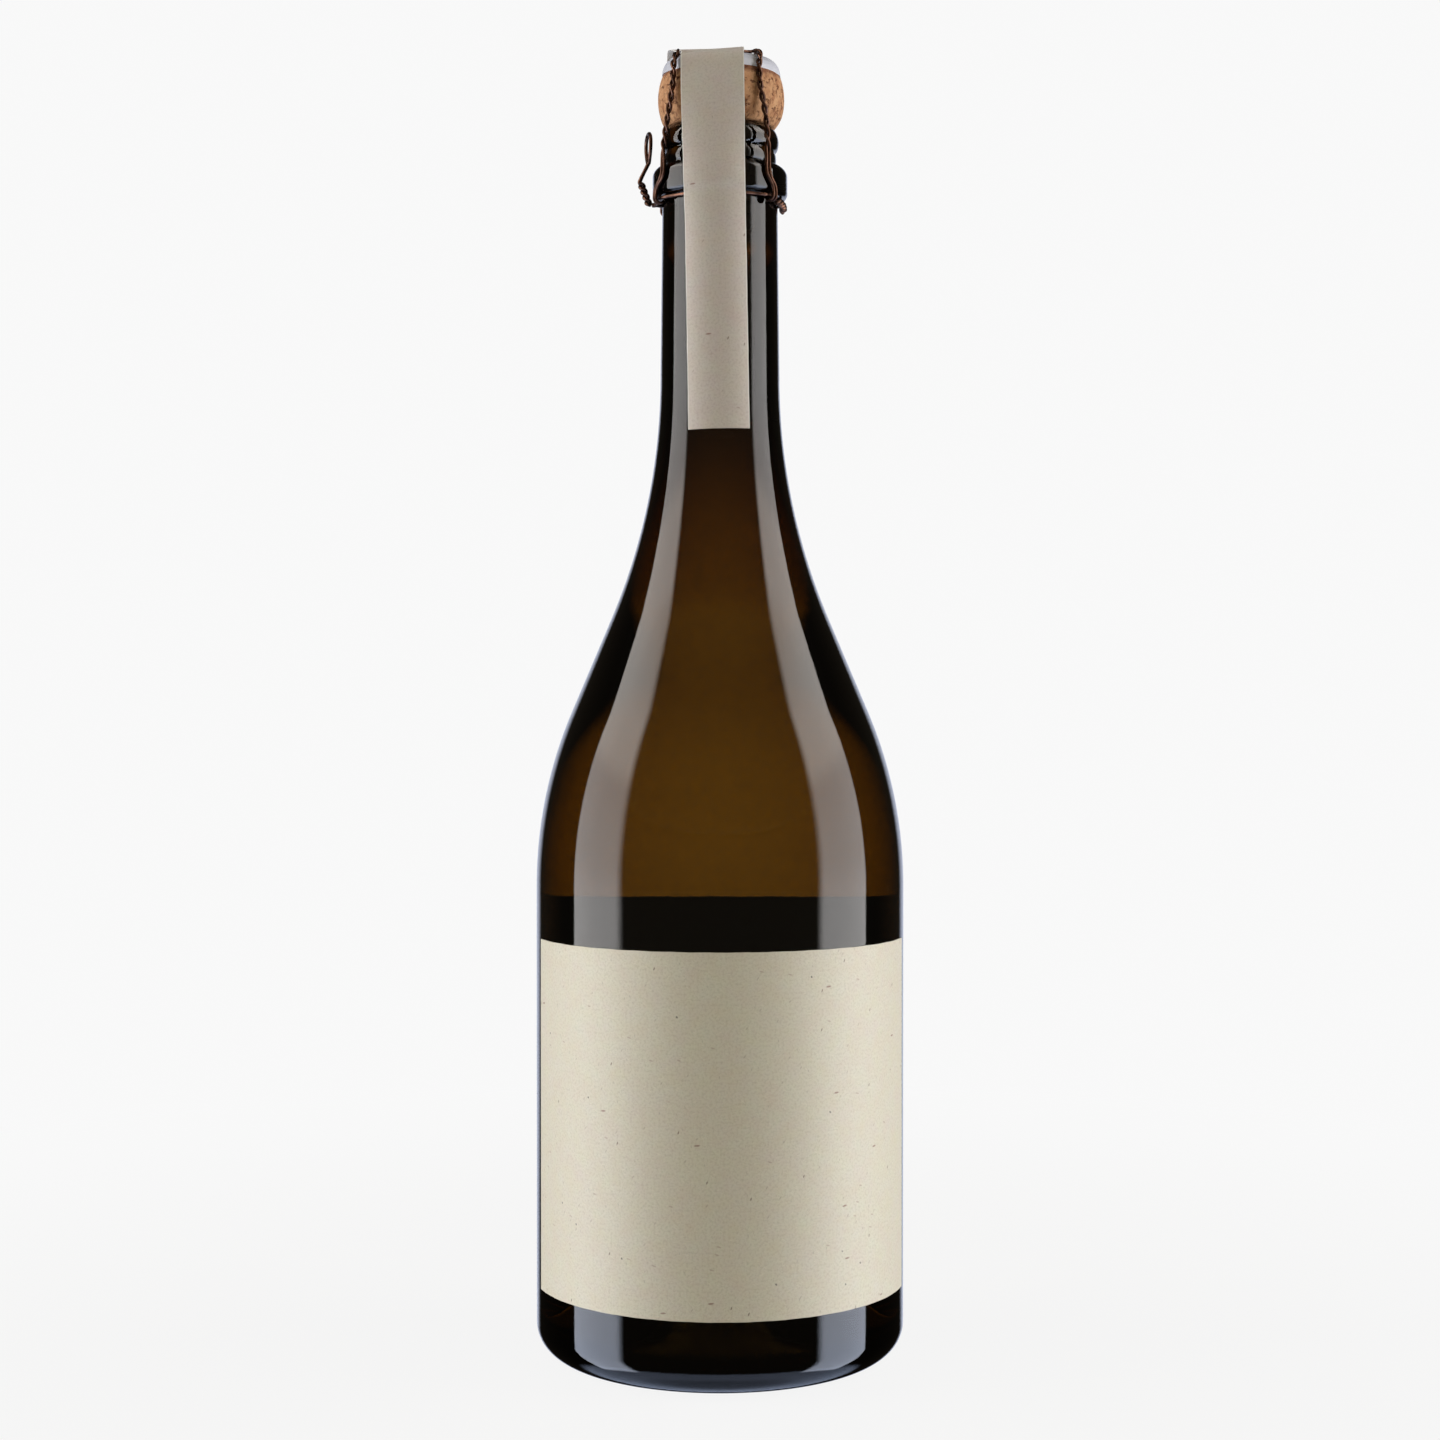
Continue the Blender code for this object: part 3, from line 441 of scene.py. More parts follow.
def glass_outside():
    """Outside of the glass from the mouth's rim down to the middle of the punt."""
    top, bottom = HEIGHT - COLLAR_DEPTHS[0], HEIGHT - COLLAR_DEPTHS[1]
    upper, lower = COLLAR_ROUNDINGS
    foot = BODY - HEEL[0]
    parts = [
        [(MOUTH + MOUTH_ROUNDING, HEIGHT)],
        arc((LIP_TOP, HEIGHT - LIP_DEPTH), (LIP - LIP_TOP, LIP_DEPTH), 90, 0, 12),
        arc((GROOVE, HEIGHT - LIP_DEPTH), (LIP - GROOVE, LIP_UNDER), -25, -85, 6),
        arc((BEAD - BEAD_BEND[0], HEIGHT - BEAD_DEPTH), BEAD_BEND, 60, -60, 8),
        arc((GROOVE + SHELF_BEND[0], top + SHELF_BEND[1]), SHELF_BEND, 180, 250, 5),
        arc((COLLAR - upper, top - upper), (upper, upper), 84, 0, 12),
        arc((COLLAR - lower, bottom + lower), (lower, lower), 0, -84, 8),
        arc((NECK_TOP + NECK_BEND, bottom - NECK_BEND), (NECK_BEND, NECK_BEND), 100, 180, 5),
        flank(0, 0, 24)[::-1],
        arc((foot, HEEL[1]), HEEL, 0, -90, 18),
        arc((foot - REST_BEND[0], REST_BEND[1]), REST_BEND, -90, -130, 5),
        arc((foot - PUNT_FOOT_REACH, 0), (PUNT_FOOT, PUNT_FOOT), 20, 55, 6),
        arc((0, PUNT[0] - PUNT[1]), (PUNT[1], PUNT[1]), 25, 90, 10),
    ]
    return np.concatenate(parts)


def glass_inside():
    """Inside of the glass from its lowest middle up to the mouth's rim."""
    wall, neck, base = WALLS
    heel = HEEL[0] - wall / 2
    parts = [
        [(0, PUNT[0] + base)],
        arc((0, PUNT[0] - PUNT[1]), (PUNT[1] + base,) * 2, 78, 30, 8),
        arc((BODY - wall - heel, base + heel), (heel, heel), -110, 0, 12),
        flank(wall, neck, 20),
        [(NECK_TOP - neck + BORE_TAPER, HEIGHT - BORE_DEPTHS[1]), (MOUTH, HEIGHT - BORE_DEPTHS[0])],
        arc((MOUTH + MOUTH_ROUNDING, HEIGHT - MOUTH_ROUNDING), (MOUTH_ROUNDING,) * 2, 180, 90, 5),
    ]
    return np.concatenate(parts)


def wine_outline():
    """The wine: the inside of the glass up to its level, let a little into the glass, with a small meniscus.

    The meniscus is (R - w t^0.7, level - h (1 - (1 - t)^2)) for t from 0 to 1.
    """
    inside = glass_inside()
    inside = inside[inside[:, 1] < HEIGHT - BORE_DEPTHS[1]]
    order = np.argsort(inside[:, 1])
    neck = inside[order][-20:]
    wide, deep = MENISCUS
    below = inside[inside[:, 1] < WINE_LEVEL - wide]
    below[1:, 0] += WINE_OVERLAP
    below[0, 1] -= WINE_OVERLAP
    t = np.linspace(0, 1, 7)[:, None]
    radius = np.interp(WINE_LEVEL, neck[:, 1], neck[:, 0]) + WINE_OVERLAP
    edge = np.concatenate([radius - wide * t**0.7, WINE_LEVEL - deep * (1 - (1 - t) ** 2)], 1)
    return np.concatenate([below, edge, [(0, WINE_LEVEL - deep)]])


def cap_outline():
    """Outside of the cap from its middle out over the crown and the groove and down the skirt."""
    crown = CROWN_CENTRE[1] + CROWN_BEND[1]
    parts = [
        [(0, crown), (CROWN_FLAT, crown)],
        arc(CROWN_CENTRE, CROWN_BEND, 80, 5, 5),
        arc(GROOVE_CENTRE, GROOVE_BEND, 190, 270, 5),
        [(CAP_GROOVE, GROOVE_CENTRE[1] - GROOVE_BEND[1])],
        arc((CAP_GROOVE, 0), (CAP - CAP_GROOVE, CAP_DOME), 75, 0, 14),
    ]
    return np.concatenate(parts)


def inset(outline, distance):
    """The outline moved inwards along its normals."""
    way = unit(np.gradient(outline, axis=0))
    moved = outline + np.stack([way[:, 1], -way[:, 0]], -1) * distance
    moved[:, 0] = np.maximum(moved[:, 0], 0)
    return moved


def tilted(points):
    """Points of the level cap round its own centre, tilted and lifted to its edge's height."""
    forward, right = (math.radians(a) for a in CAP_TILT)
    turn = Matrix.Rotation(right, 3, "Y") @ Matrix.Rotation(forward, 3, "X")
    return points @ np.array(turn).T + np.array((0, 0, CAP_EDGE))


def on_cap(azimuth, radius, lift):
    """Point beside the tilted cap."""
    point = polar(azimuth, radius, CAP_EDGE + lift)
    forward, right = (math.tan(math.radians(a)) for a in CAP_TILT)
    point[..., 2] += point[..., 1] * forward - point[..., 0] * right
    return point


def ring_point(azimuth, reach=0.0):
    """The tilted ring: (R + reach) (sin a, -cos a) set left by the shift, with z following both tilts."""
    radius, shift, height = RING
    point = polar(azimuth, radius + reach, height)
    forward, left = (math.tan(math.radians(a)) for a in RING_TILT)
    point[..., 2] += point[..., 1] * forward + point[..., 0] * left
    point[..., 0] -= shift
    return point


def azimuth_of(points):
    """Azimuths of points in degrees."""
    return np.degrees(np.arctan2(points[..., 0], -points[..., 1]))


def leg_line(leg):
    """Middle line of a leg from the ring over the cap's dome and the cork to the collar."""
    root, edge, cork, lip, collar = leg[:5]
    off = GAP + CAGE_WIRE + CAGE_TWIST / 2
    start = ring_point(root, CORNER_REACH)
    swing = (azimuth_of(start) - edge + 180) % 360 - 180
    keys = [start]
    for angle in DOME_ANGLES:
        t = math.radians(angle)
        radius = CAP_GROOVE + (CAP - CAP_GROOVE + off) * math.cos(t)
        keys.append(on_cap(edge + swing * (angle / 90) ** 2, radius, (CAP_DOME + off) * math.sin(t)))
    keys.append(polar(cork, CORK + off, HEIGHT + BULGE))
    keys.append(polar(lip, (CORK + off + BESIDE) / 2, HEIGHT))
    keys.append(polar(collar, BESIDE, HEIGHT - UNTWIST_DEPTH))
    return smooth(keys, 12)


def hook_point(foot, turn, aside):
    """Point turned down and round the belt from its outer side: belt + HOOK (cos t, -sin t) and aside."""
    bend = np.radians(turn)
    point = polar(foot, FOOT_R + HOOK * np.cos(bend), BELT_Z - HOOK * np.sin(bend))
    return point + around(float(foot)) * np.asarray(aside)[..., None]


def leg_strand(leg, hand):
    """One strand of a leg with its straight end beside the collar and its side of the hook."""
    line = even(leg_line(leg), 81)
    half = (CAGE_WIRE + CAGE_TWIST) / 2
    top = wound(line, around(azimuth_of(line)), half, CAGE_HALF_TURNS, hand)
    collar, foot = leg[4:]
    share = np.linspace(0, 1, 8)
    azimuth = collar + (foot - collar) * share**2
    straight = polar(azimuth, BESIDE, SHELF_Z + (UNDER_Z - SHELF_Z) * share)
    straight = straight + around(azimuth) * (EYE * hand)
    hook = hook_point(foot, np.linspace(0, HOOK_TURN, 10), np.full(10, EYE * hand))
    return np.concatenate([top, straight, hook])


def cage_line():
    """The endless wire: down a leg, round its hook, up and along the ring to the next leg."""
    made = []
    lean = math.degrees(EYE / HOOK)
    near = math.degrees(CORNER_LENGTH / RING[0])
    for leg, after in zip(LEGS, LEGS[1:] + LEGS[:1]):
        swing = np.radians(np.array([30, 60, 90, 120, 150]))
        end = hook_point(leg[5], HOOK_TURN + lean * np.sin(swing), -EYE * np.cos(swing))
        span = (after[0] - leg[0]) % 360
        inner = ring_point(np.linspace(leg[0] + near, leg[0] + span - near, max(6, round(span / 5))))
        corners = leg[0] + np.array([[near / 2], [span - near / 2]])
        first, last = (ring_point(azimuth, CORNER_REACH / 3) for azimuth in corners)
        made += [leg_strand(leg, -1), end, leg_strand(leg, 1)[::-1], first, inner, last]
    line = np.concatenate(made)
    for _ in range(2):
        line = (np.roll(line, 1, 0) + 6 * line + np.roll(line, -1, 0)) / 8
    return line


def belt_point(azimuth):
    """The belt, whose radius rises by a squared cosine near each hook."""
    azimuth = np.asarray(azimuth, float)
    feet = np.array([leg[5] for leg in LEGS])
    nearest = np.abs((azimuth[..., None] - feet + 180) % 360 - 180).min(-1)
    share = np.cos(np.pi / 2 * np.minimum(nearest / BELT_BULGE, 1)) ** 2
    return polar(azimuth, BELT_R + (FOOT_R - BELT_R) * share, BELT_Z)


def splice_strand(hand):
    """One wire of the splice: a helix about a line that lies outside the belt and sags to its end."""
    reach = (BELT_WIRE + GAP) / 2
    t = np.linspace(0, 1, 41)
    azimuth = SPLICE[0] + (SPLICE[1] - SPLICE[0]) * t
    line = polar(azimuth, BELT_R + reach, BELT_Z - reach - SPLICE_SAG * t)
    return wound(line, np.tile((0.0, 0.0, 1.0), (len(t), 1)), reach, SPLICE_HALF_TURNS, hand)


def belt_line(side):
    """Half of the belt, from its end at the pull loop round to the splice and through it."""
    reach = (BELT_WIRE + GAP) / 2
    aside = around(STEM_AZIMUTH) * reach * side
    tip = np.array(STEM) - polar(STEM_AZIMUTH, BELT_WIRE / 2 + GAP + CAGE_TWIST, 0) + aside
    bend = tip - polar(STEM_AZIMUTH, BELT_WIRE / 2, 0)
    last = bend + (belt_point(STEM_AZIMUTH) + 3 * aside - bend) * 0.4
    if side > 0:
        run = belt_point(np.arange(STEM_AZIMUTH + BELT_END, SPLICE[0] - BELT_END / 2, BELT_STEP))
        tail = splice_strand(1)
    else:
        run = belt_point(np.arange(STEM_AZIMUTH + 360 - BELT_END, SPLICE[1] + BELT_END / 2, -BELT_STEP))
        tail = splice_strand(-1)[::-1]
    start = smooth([tip, bend, last, run[0]], 6)[:-1]
    join = smooth([run[-2], run[-1], tail[0], tail[1]], 6)[7:12]
    line = np.concatenate([start, run, join, tail])
    for _ in range(3):
        line[1:-1] = (line[:-2] + 2 * line[1:-1] + line[2:]) / 4
    return line


def loop_line():
    """The pull loop: two strands twisted up the stem, a kink, and a teardrop r = sin s sin(s / 2)."""
    out, aside, up = polar(STEM_AZIMUTH, 1.0, 0.0), around(STEM_AZIMUTH), np.array((0.0, 0.0, 1.0))
    rise, turn = math.radians(STEM_RISE), math.radians(LOOP_TURN)
    along = out * math.cos(rise) + up * math.sin(rise)
    reach = (BELT_WIRE + CAGE_TWIST) / 2
    stem = np.array(STEM) + along * (STEM_LENGTH * np.linspace(0, 1, 33))[:, None]
    strands = [wound(stem, np.tile(aside, (33, 1)), reach, STEM_HALF_TURNS, hand) for hand in (1, -1)]
    kink = stem[-1] + along * KINK
    neck = stem[-1] - out * LOOP_LEAN + up * LOOP_NECK
    wide = aside * math.cos(turn) - out * math.sin(turn)
    s = np.radians(np.linspace(LOOP_START, 360 - LOOP_START, 49))[:, None]
    bow = np.sin(s) * np.sin(s / 2) / (4 / math.sqrt(27))
    loop = neck + wide * (LOOP_WIDTH / 2 * bow) + up * (LOOP_LENGTH * (1 - np.cos(s)) / 2)
    first = smooth([strands[0][-1], kink + aside * reach, loop[0], loop[1]], 6)[1:12]
    last = smooth([loop[-2], loop[-1], kink - aside * reach, strands[1][-1]], 6)[7:18]
    return np.concatenate([strands[0], first, loop, last, strands[1][::-1]])


def label(name, place, looks, seed):
    """Paper on the body: P = polar(a, BODY + lift + wave, z), its upper and lower edges slightly wavy.

    The wave grows with sin(a / 7) sin(260 z) + sin(a / 3.1 + 90 z), each sine with a phase of its own, and
    the edges waver with sin(a / 1.7) and sin(a / 0.6).
    """
    start, end, bottom, top = place
    a, z = np.linspace(start, end, 121), np.linspace(bottom, top, 61)
    phase = np.random.default_rng(seed).uniform(0, 2 * np.pi, 8)
    aa, zz = np.meshgrid(a, z)
    ripple = np.sin(aa / 7 + phase[0]) * np.sin(zz * 260 + phase[1]) + np.sin(aa / 3.1 + zz * 90 + phase[2])
    aside = np.minimum(np.minimum(aa - start, end - aa) / LABEL_EDGE_TURN, 1)
    inside = aside * np.minimum(np.minimum(zz - bottom, top - zz) / LABEL_EDGE_REACH, 1)
    radius = BODY + LABEL_LIFT + LABEL_WAVE * (1 + ripple / 2) * (0.4 + 0.6 * inside)
    jag = LABEL_JAGS[0] * np.sin(aa / 1.7 + phase[3]) + LABEL_JAGS[1] * np.sin(aa / 0.6 + phase[4])
    high = (zz - bottom) / (top - bottom)
    zz = zz + jag * high**8 - 0.8 * jag * (1 - high) ** 8
    inner, outer = polar(aa, radius, zz), polar(aa, radius + PAPER, zz)
    extra = {"replaced": [name], "slot": "label_paper"}
    sheet_piece("paper_" + name, inner, outer, np.radians(a) * BODY, z, looks, **extra)


def sheet_piece(name, inner, outer, u, v, looks, body="bottle_body", under=0.0, **extra):
    """A closed sheet: the outer grid, then the inner grid the other way, joined round the rim.

    The flat coordinates of the inner side are set off by a distance, by which a paper can tell its underside.
    """
    loop = np.concatenate([outer, inner[:, ::-1]], 1)
    first, last = (np.concatenate([inner[i : i + 1], inner[i : i + 1, ::-1]], 1) for i in (0, len(inner) - 1))
    uv = (np.concatenate([u, u[::-1] + under]), np.concatenate([v[:1], v, v[-1:]]))
    mesh_piece(name, np.concatenate([first, loop, last]), looks, body, uv=uv, **extra)


def strip_keys():
    """The strip's way: turn share, lean, reach to the front, height, roundness across."""
    lay = GAP + STRIP_SLACK
    over_belt, over_collar = BELT_R + BELT_WIRE / 2 + lay, COLLAR + lay
    over_bulge, over_edge = CORK + lay, CAP + lay
    profile = np.concatenate([flank(0, 0, 9), [(NECK_TOP, HEIGHT - COLLAR_DEPTHS[1])]])
    made = []
    for hand, depth in zip((1, -1), STRIP_DEPTHS):
        azimuth = 90 - 90 * hand
        edge = on_cap(azimuth, over_edge, 0)[2]
        _, ring_y, ring_z = ring_point(azimuth)
        side = []
        for height in np.linspace(HEIGHT - depth, BELT_Z - STRIP_BRIDGE, 4):
            side.append((0, np.interp(height, *profile[:, ::-1].T) + lay, height, 1))
        side += [(0, over_belt, BELT_Z - BELT_WIRE / 2, 1), (0, over_belt, BELT_Z + BELT_WIRE / 2, 1)]
        side += [(0, over_collar, UNDER_Z, 1), (0, over_collar, SHELF_Z, 1)]
        ways = [((over_collar + over_bulge) / 2, HEIGHT), (over_bulge, HEIGHT + BULGE), (over_edge, edge)]
        for draw, rise in zip(STRIP_DRAW_SHARES, STRIP_RISE_SHARES):
            ways.append((over_edge - CAP_DOME * draw, edge + CAP_DOME * rise))
        for (reach, height), lean, bend in zip(ways, STRIP_LEAN_SHARES, STRIP_ROUND_SHARES):
            side.append((lean, reach, height, bend))
        side.append((1, abs(ring_y) + SNUG + CAGE_WIRE / 2, ring_z - CAGE_WIRE / 2, 0))
        side += [(1, abs(ring_y) + SNUG, ring_z + CAGE_WIRE / 4, 0), (1, abs(ring_y), ring_z + SNUG, 0)]
        for lean, reach, height, bend in side[::hand]:
            made.append((azimuth / 180, lean, reach * hand, height, bend))
    middle = len(made) // 2
    front, back = np.array(made[middle - 1]), np.array(made[middle])
    t = np.arange(1, 8)[:, None] / 8
    across = front + (back - front) * t
    across[:, 3:4] += BOW * np.sin(np.pi * t**BOW_PEAK)
    return np.concatenate([made[:middle], across, made[middle:]])


def even_keys(keys, spacing):
    """The keys filled in along straight lines, evenly by their places in the strip's side view."""
    length = run_along(keys[:, 2:4])
    want = np.linspace(0, length[-1], round(length[-1] / spacing))
    return np.stack([np.interp(want, length, column) for column in keys.T], -1)


def seal_strip(looks):
    """The strip: P = C + sin(w k) / k A - (1 - cos(w k)) / k N across w, along the way of its keys.

    It is divided where it tears: its ends stay glued to the neck, and what lies over the cork comes off.
    """
    rows = even_keys(strip_keys(), STRIP_STEP)
    for _ in range(3):
        rows[1:-1] = (rows[:-2] + rows[1:-1] + rows[2:]) / 3
    back, tilt, reach, height, bend = rows.T
    turn = STRIP_TURNS[0] + (STRIP_TURNS[1] - STRIP_TURNS[0]) * back
    middle = polar(turn, reach, height)
    lean = STRIP_LEAN * (height - STRIP_LEAN_FROM) * (1 - back)
    middle[:, 0] -= lean + BACK_SHIFT * tilt * back + SWAY * np.sin(np.pi * back)
    ahead = unit(np.gradient(middle, axis=0))
    wide = around(turn)
    wide[:, 2] = np.tan(np.radians(STRIP_TILT * tilt))
    wide = unit(wide - ahead * (wide * ahead).sum(1, keepdims=True))
    out = polar(turn, np.sign(reach) + (reach == 0), 0)
    bend = np.maximum(bend / np.maximum(np.abs(reach), LEAST_BEND_RADIUS), FLAT_BEND)[:, None]
    w = np.linspace(-0.5, 0.5, 25)[None, :] * STRIP_WIDTH
    inner = middle[:, None] + wide[:, None] * (np.sin(w * bend) / bend)[..., None]
    inner = inner - out[:, None] * ((1 - np.cos(w * bend)) / bend)[..., None]
    normal = unit(np.cross(np.gradient(inner, axis=1), np.gradient(inner, axis=0)))
    run = run_along(middle)
    waves = np.sin(run * 900)[:, None] * np.cos(w * 500) + np.sin(run * 340 + 1)[:, None]
    inner = inner + normal * (STRIP_WAVE * (1 + waves))[..., None]
    outer = inner + normal * PAPER
    ends = [0, *np.flatnonzero(height > TEAR_HEIGHT)[[0, -1]], len(rows) - 1]
    parts = (
        ("paper_strip_front_end", "bottle_body", ()),
        ("paper_strip_over_cork", "seal", ("seal_strip",)),
        ("paper_strip_back_end", "bottle_body", ()),
    )
    for (name, body, replaced), start, stop in zip(parts, ends, ends[1:]):
        cut = slice(start, stop + 1)
        extra = {"body": body, "under": UNDERSIDE, "replaced": replaced, "slot": "strip_paper"}
        sheet_piece(name, inner[cut], outer[cut], w[0], run[cut], looks, **extra)


class Nodes:
    """The nodes of a material or a world, added and linked in short lines."""

    def __init__(self, owner):
        owner.use_nodes = True
        self.tree = owner.node_tree

    def add(self, kind, **settings):
        node = self.tree.nodes.new("ShaderNode" + kind)
        for key, value in settings.items():
            if hasattr(node, key):
                setattr(node, key, value)
            else:
                node.inputs[key.replace("_", " ")].default_value = value
        return node

    def link(self, source, target):
        self.tree.links.new(source, target)

    def give(self, socket, value):
        """Links a socket or sets its value."""
        if isinstance(value, bpy.types.NodeSocket):
            self.link(value, socket)
        else:
            socket.default_value = (*value, 1) if isinstance(value, tuple) else value

    def calc(self, operation, *values):
        node = self.add("Math", operation=operation)
        for socket, value in zip(node.inputs, values):
            self.give(socket, value)
        return node.outputs[0]

    def step(self, value, start, end, low=0.0, high=1.0, kind="SMOOTHSTEP"):
        """A step of the value from low at the start to high at the end."""
        node = self.add("MapRange", interpolation_type=kind)
        for socket, number in zip(node.inputs, (value, start, end, low, high)):
            self.give(socket, number)
        return node.outputs[0]

    def mix(self, a, b, factor=1.0, mode="MIX", **settings):
        node = self.add("Mix", data_type="RGBA", blend_type=mode, **settings)
        for socket, value in ((node.inputs[0], factor), (node.inputs[6], a), (node.inputs[7], b)):
            self.give(socket, value)
        return node.outputs[2]

    def tint(self, colour, strength=1.0):
        """The colour times a strength, which may be above one."""
        return self.mix((0, 0, 0), colour, strength, clamp_factor=False)


class Look(Nodes):
    """A material's nodes round its shader."""

    def __init__(self, name):
        self.material = bpy.data.materials.new(name)
        super().__init__(self.material)
        self.shader = self.tree.nodes["Principled BSDF"]
        self.out = self.tree.nodes["Material Output"]

    def mapped(self, place, **settings):
        node = self.add("Mapping", **settings)
        self.link(place, node.inputs["Vector"])
        return node.outputs["Vector"]

    def texture(self, kind, space, stretch=None, **settings):
        """A texture of the object's own or the sheet's flat coordinates."""
        place = self.add("TexCoord").outputs["UV" if space == "flat" else "Object"]
        if stretch:
            place = self.mapped(place, Scale=stretch)
        node = self.add(kind, **settings)
        self.link(place, node.inputs["Vector"])
        return node

    def red(self, colour):
        node = self.add("SeparateColor")
        self.link(colour, node.inputs["Color"])
        return node.outputs["Red"]

    def ramp(self, source, *stops):
        node = self.add("ValToRGB")
        elements = node.color_ramp.elements
        while len(elements) < len(stops):
            elements.new(0.5)
        for element, (place, colour) in zip(elements, stops):
            element.position = place
            element.color = (*colour, 1)
        self.link(source, node.inputs["Fac"])
        return node.outputs["Color"]

    def bump(self, height, strength, distance, **settings):
        node = self.add("Bump", Strength=strength, Distance=distance, **settings)
        self.link(height, node.inputs["Height"])
        self.link(node.outputs["Normal"], self.shader.inputs["Normal"])

    def absorb(self, colour, density):
        node = self.add("VolumeAbsorption", Color=(*colour, 1), Density=density)
        self.link(node.outputs["Volume"], self.out.inputs["Volume"])

    def layered(self, a, b, factor):
        """A mix of two shaders."""
        node = self.add("MixShader")
        for socket, source in zip(node.inputs, (factor, a, b)):
            self.link(source, socket)
        return node.outputs[0]

    def set(self, **values):
        for key, value in values.items():
            self.give(self.shader.inputs[key.replace("_", " ")], value)


def grey(value):
    return (value, value, value)


def glass_look():
    """Amber bottle glass: clear, slightly wavy from the mould, coloured by what light passes through."""
    m = Look("amber_bottle_glass")
    waves = m.texture("TexNoise", "object", (60, 60, 9), Scale=1.0, Detail=2.0)
    m.bump(waves.outputs["Fac"], 0.05, 0.0004)
    m.set(Base_Color=(1.0, 1.0, 1.0), Roughness=0.0, IOR=1.5, Transmission_Weight=1.0)
    m.absorb((0.619, 0.480, 0.011), 700.0)
    return m.material


def wine_look():
    """Pale gold wine."""
    m = Look("pale_wine")
    swirl = m.texture("TexNoise", "object", Scale=40.0, Detail=1.0)
    m.set(Base_Color=m.ramp(swirl.outputs["Fac"], (0.3, (0.99, 0.98, 0.94)), (0.7, (1.0, 0.99, 0.96))))
    m.set(Roughness=0.0, IOR=1.34, Transmission_Weight=1.0)
    m.absorb((0.95, 0.90, 0.62), 12.0)
    return m.material


def paper_look(name, base, dark, flecks, under=None):
    """Recycled paper: a faint cloudy tone, fine grain, pale fibres and short brown flecks at all angles.

    A sheet with an underside is of that colour there and along its cut edges.
    """
    m = Look(name)
    cloud = m.texture("TexNoise", "flat", Scale=210.0, Detail=4.0, Roughness=0.6)
    fine = m.texture("TexNoise", "flat", Scale=1700.0, Detail=4.0, Roughness=0.7)
    tone = m.mix(base, dark, m.ramp(cloud.outputs["Fac"], (0.40, grey(0)), (0.70, grey(0.16))))
    tone = m.mix(tone, dark, m.ramp(fine.outputs["Fac"], (0.46, grey(0)), (0.70, grey(0.74))))
    tone = m.mix(tone, cloud.outputs["Color"], 0.20, "SOFT_LIGHT")
    pale = tuple(min(1, c * 1.12) for c in base)
    brown, rust, soot = (0.17, 0.085, 0.045), (0.24, 0.085, 0.050), (0.05, 0.035, 0.028)
    layers = (
        (5, 0.0062, 0.00018, 3.4, rust, 0.035, 0.75, 0.000),
        (-50, 0.0055, 0.00016, 1.5, soot, 0.035, 0.90, 0.013),
        (70, 0.0049, 0.00013, 2.8, brown, 0.040, 0.80, 0.021),
        (-15, 0.0036, 0.00015, 3.2, rust, 0.060, 0.34, 0.037),
        (55, 0.0031, 0.00012, 3.0, brown, 0.080, 0.30, 0.049),
        (-75, 0.0026, 0.00010, 3.0, soot, 0.070, 0.22, 0.062),
        (15, 0.0021, 0.00006, 6.0, pale, 0.20, 0.7, 0.077),
        (-35, 0.0018, 0.00006, 6.0, pale, 0.20, 0.7, 0.084),
        (70, 0.0019, 0.00005, 6.0, dark, 0.25, 0.7, 0.099),
        (-60, 0.0017, 0.00005, 5.0, dark, 0.25, 0.6, 0.105),
    )
    flat = m.add("TexCoord").outputs["UV"]
    for angle, cell, half, slim, colour, share, strength, offset in layers:
        place = {
            "Location": (offset, offset * 0.7, 0),
            "Rotation": (0, 0, math.radians(angle)),
            "Scale": (cell * slim**0.5, cell / slim**0.5, 1),
        }
        bent = m.mix(m.mapped(flat, vector_type="TEXTURE", **place), fine.outputs["Color"], 0.03, "ADD")
        cells = m.add("TexVoronoi", Scale=1.0, Randomness=1.0, voronoi_dimensions="2D")
        m.link(bent, cells.inputs["Vector"])
        size, few = half * slim**0.5 / cell, share * flecks
        chosen = m.ramp(m.red(cells.outputs["Color"]), (few, grey(strength)), (few + 0.002, grey(0)))
        spot = m.ramp(cells.outputs["Distance"], (size * 0.75, grey(1)), (size * 1.35, grey(0)))
        tone = m.mix(tone, colour, m.mix(spot, chosen, mode="MULTIPLY"))
    if under:
        across = m.add("SeparateXYZ")
        m.link(flat, across.inputs[0])
        aside = m.calc("ABSOLUTE", across.outputs["X"])
        tone = m.mix(tone, under, m.calc("GREATER_THAN", aside, STRIP_WIDTH / 2 - CUT_EDGE))
    m.bump(fine.outputs["Fac"], 0.25, 0.00005)
    m.set(Base_Color=tone, Roughness=0.57, Specular_IOR_Level=1.0)
    return m.material


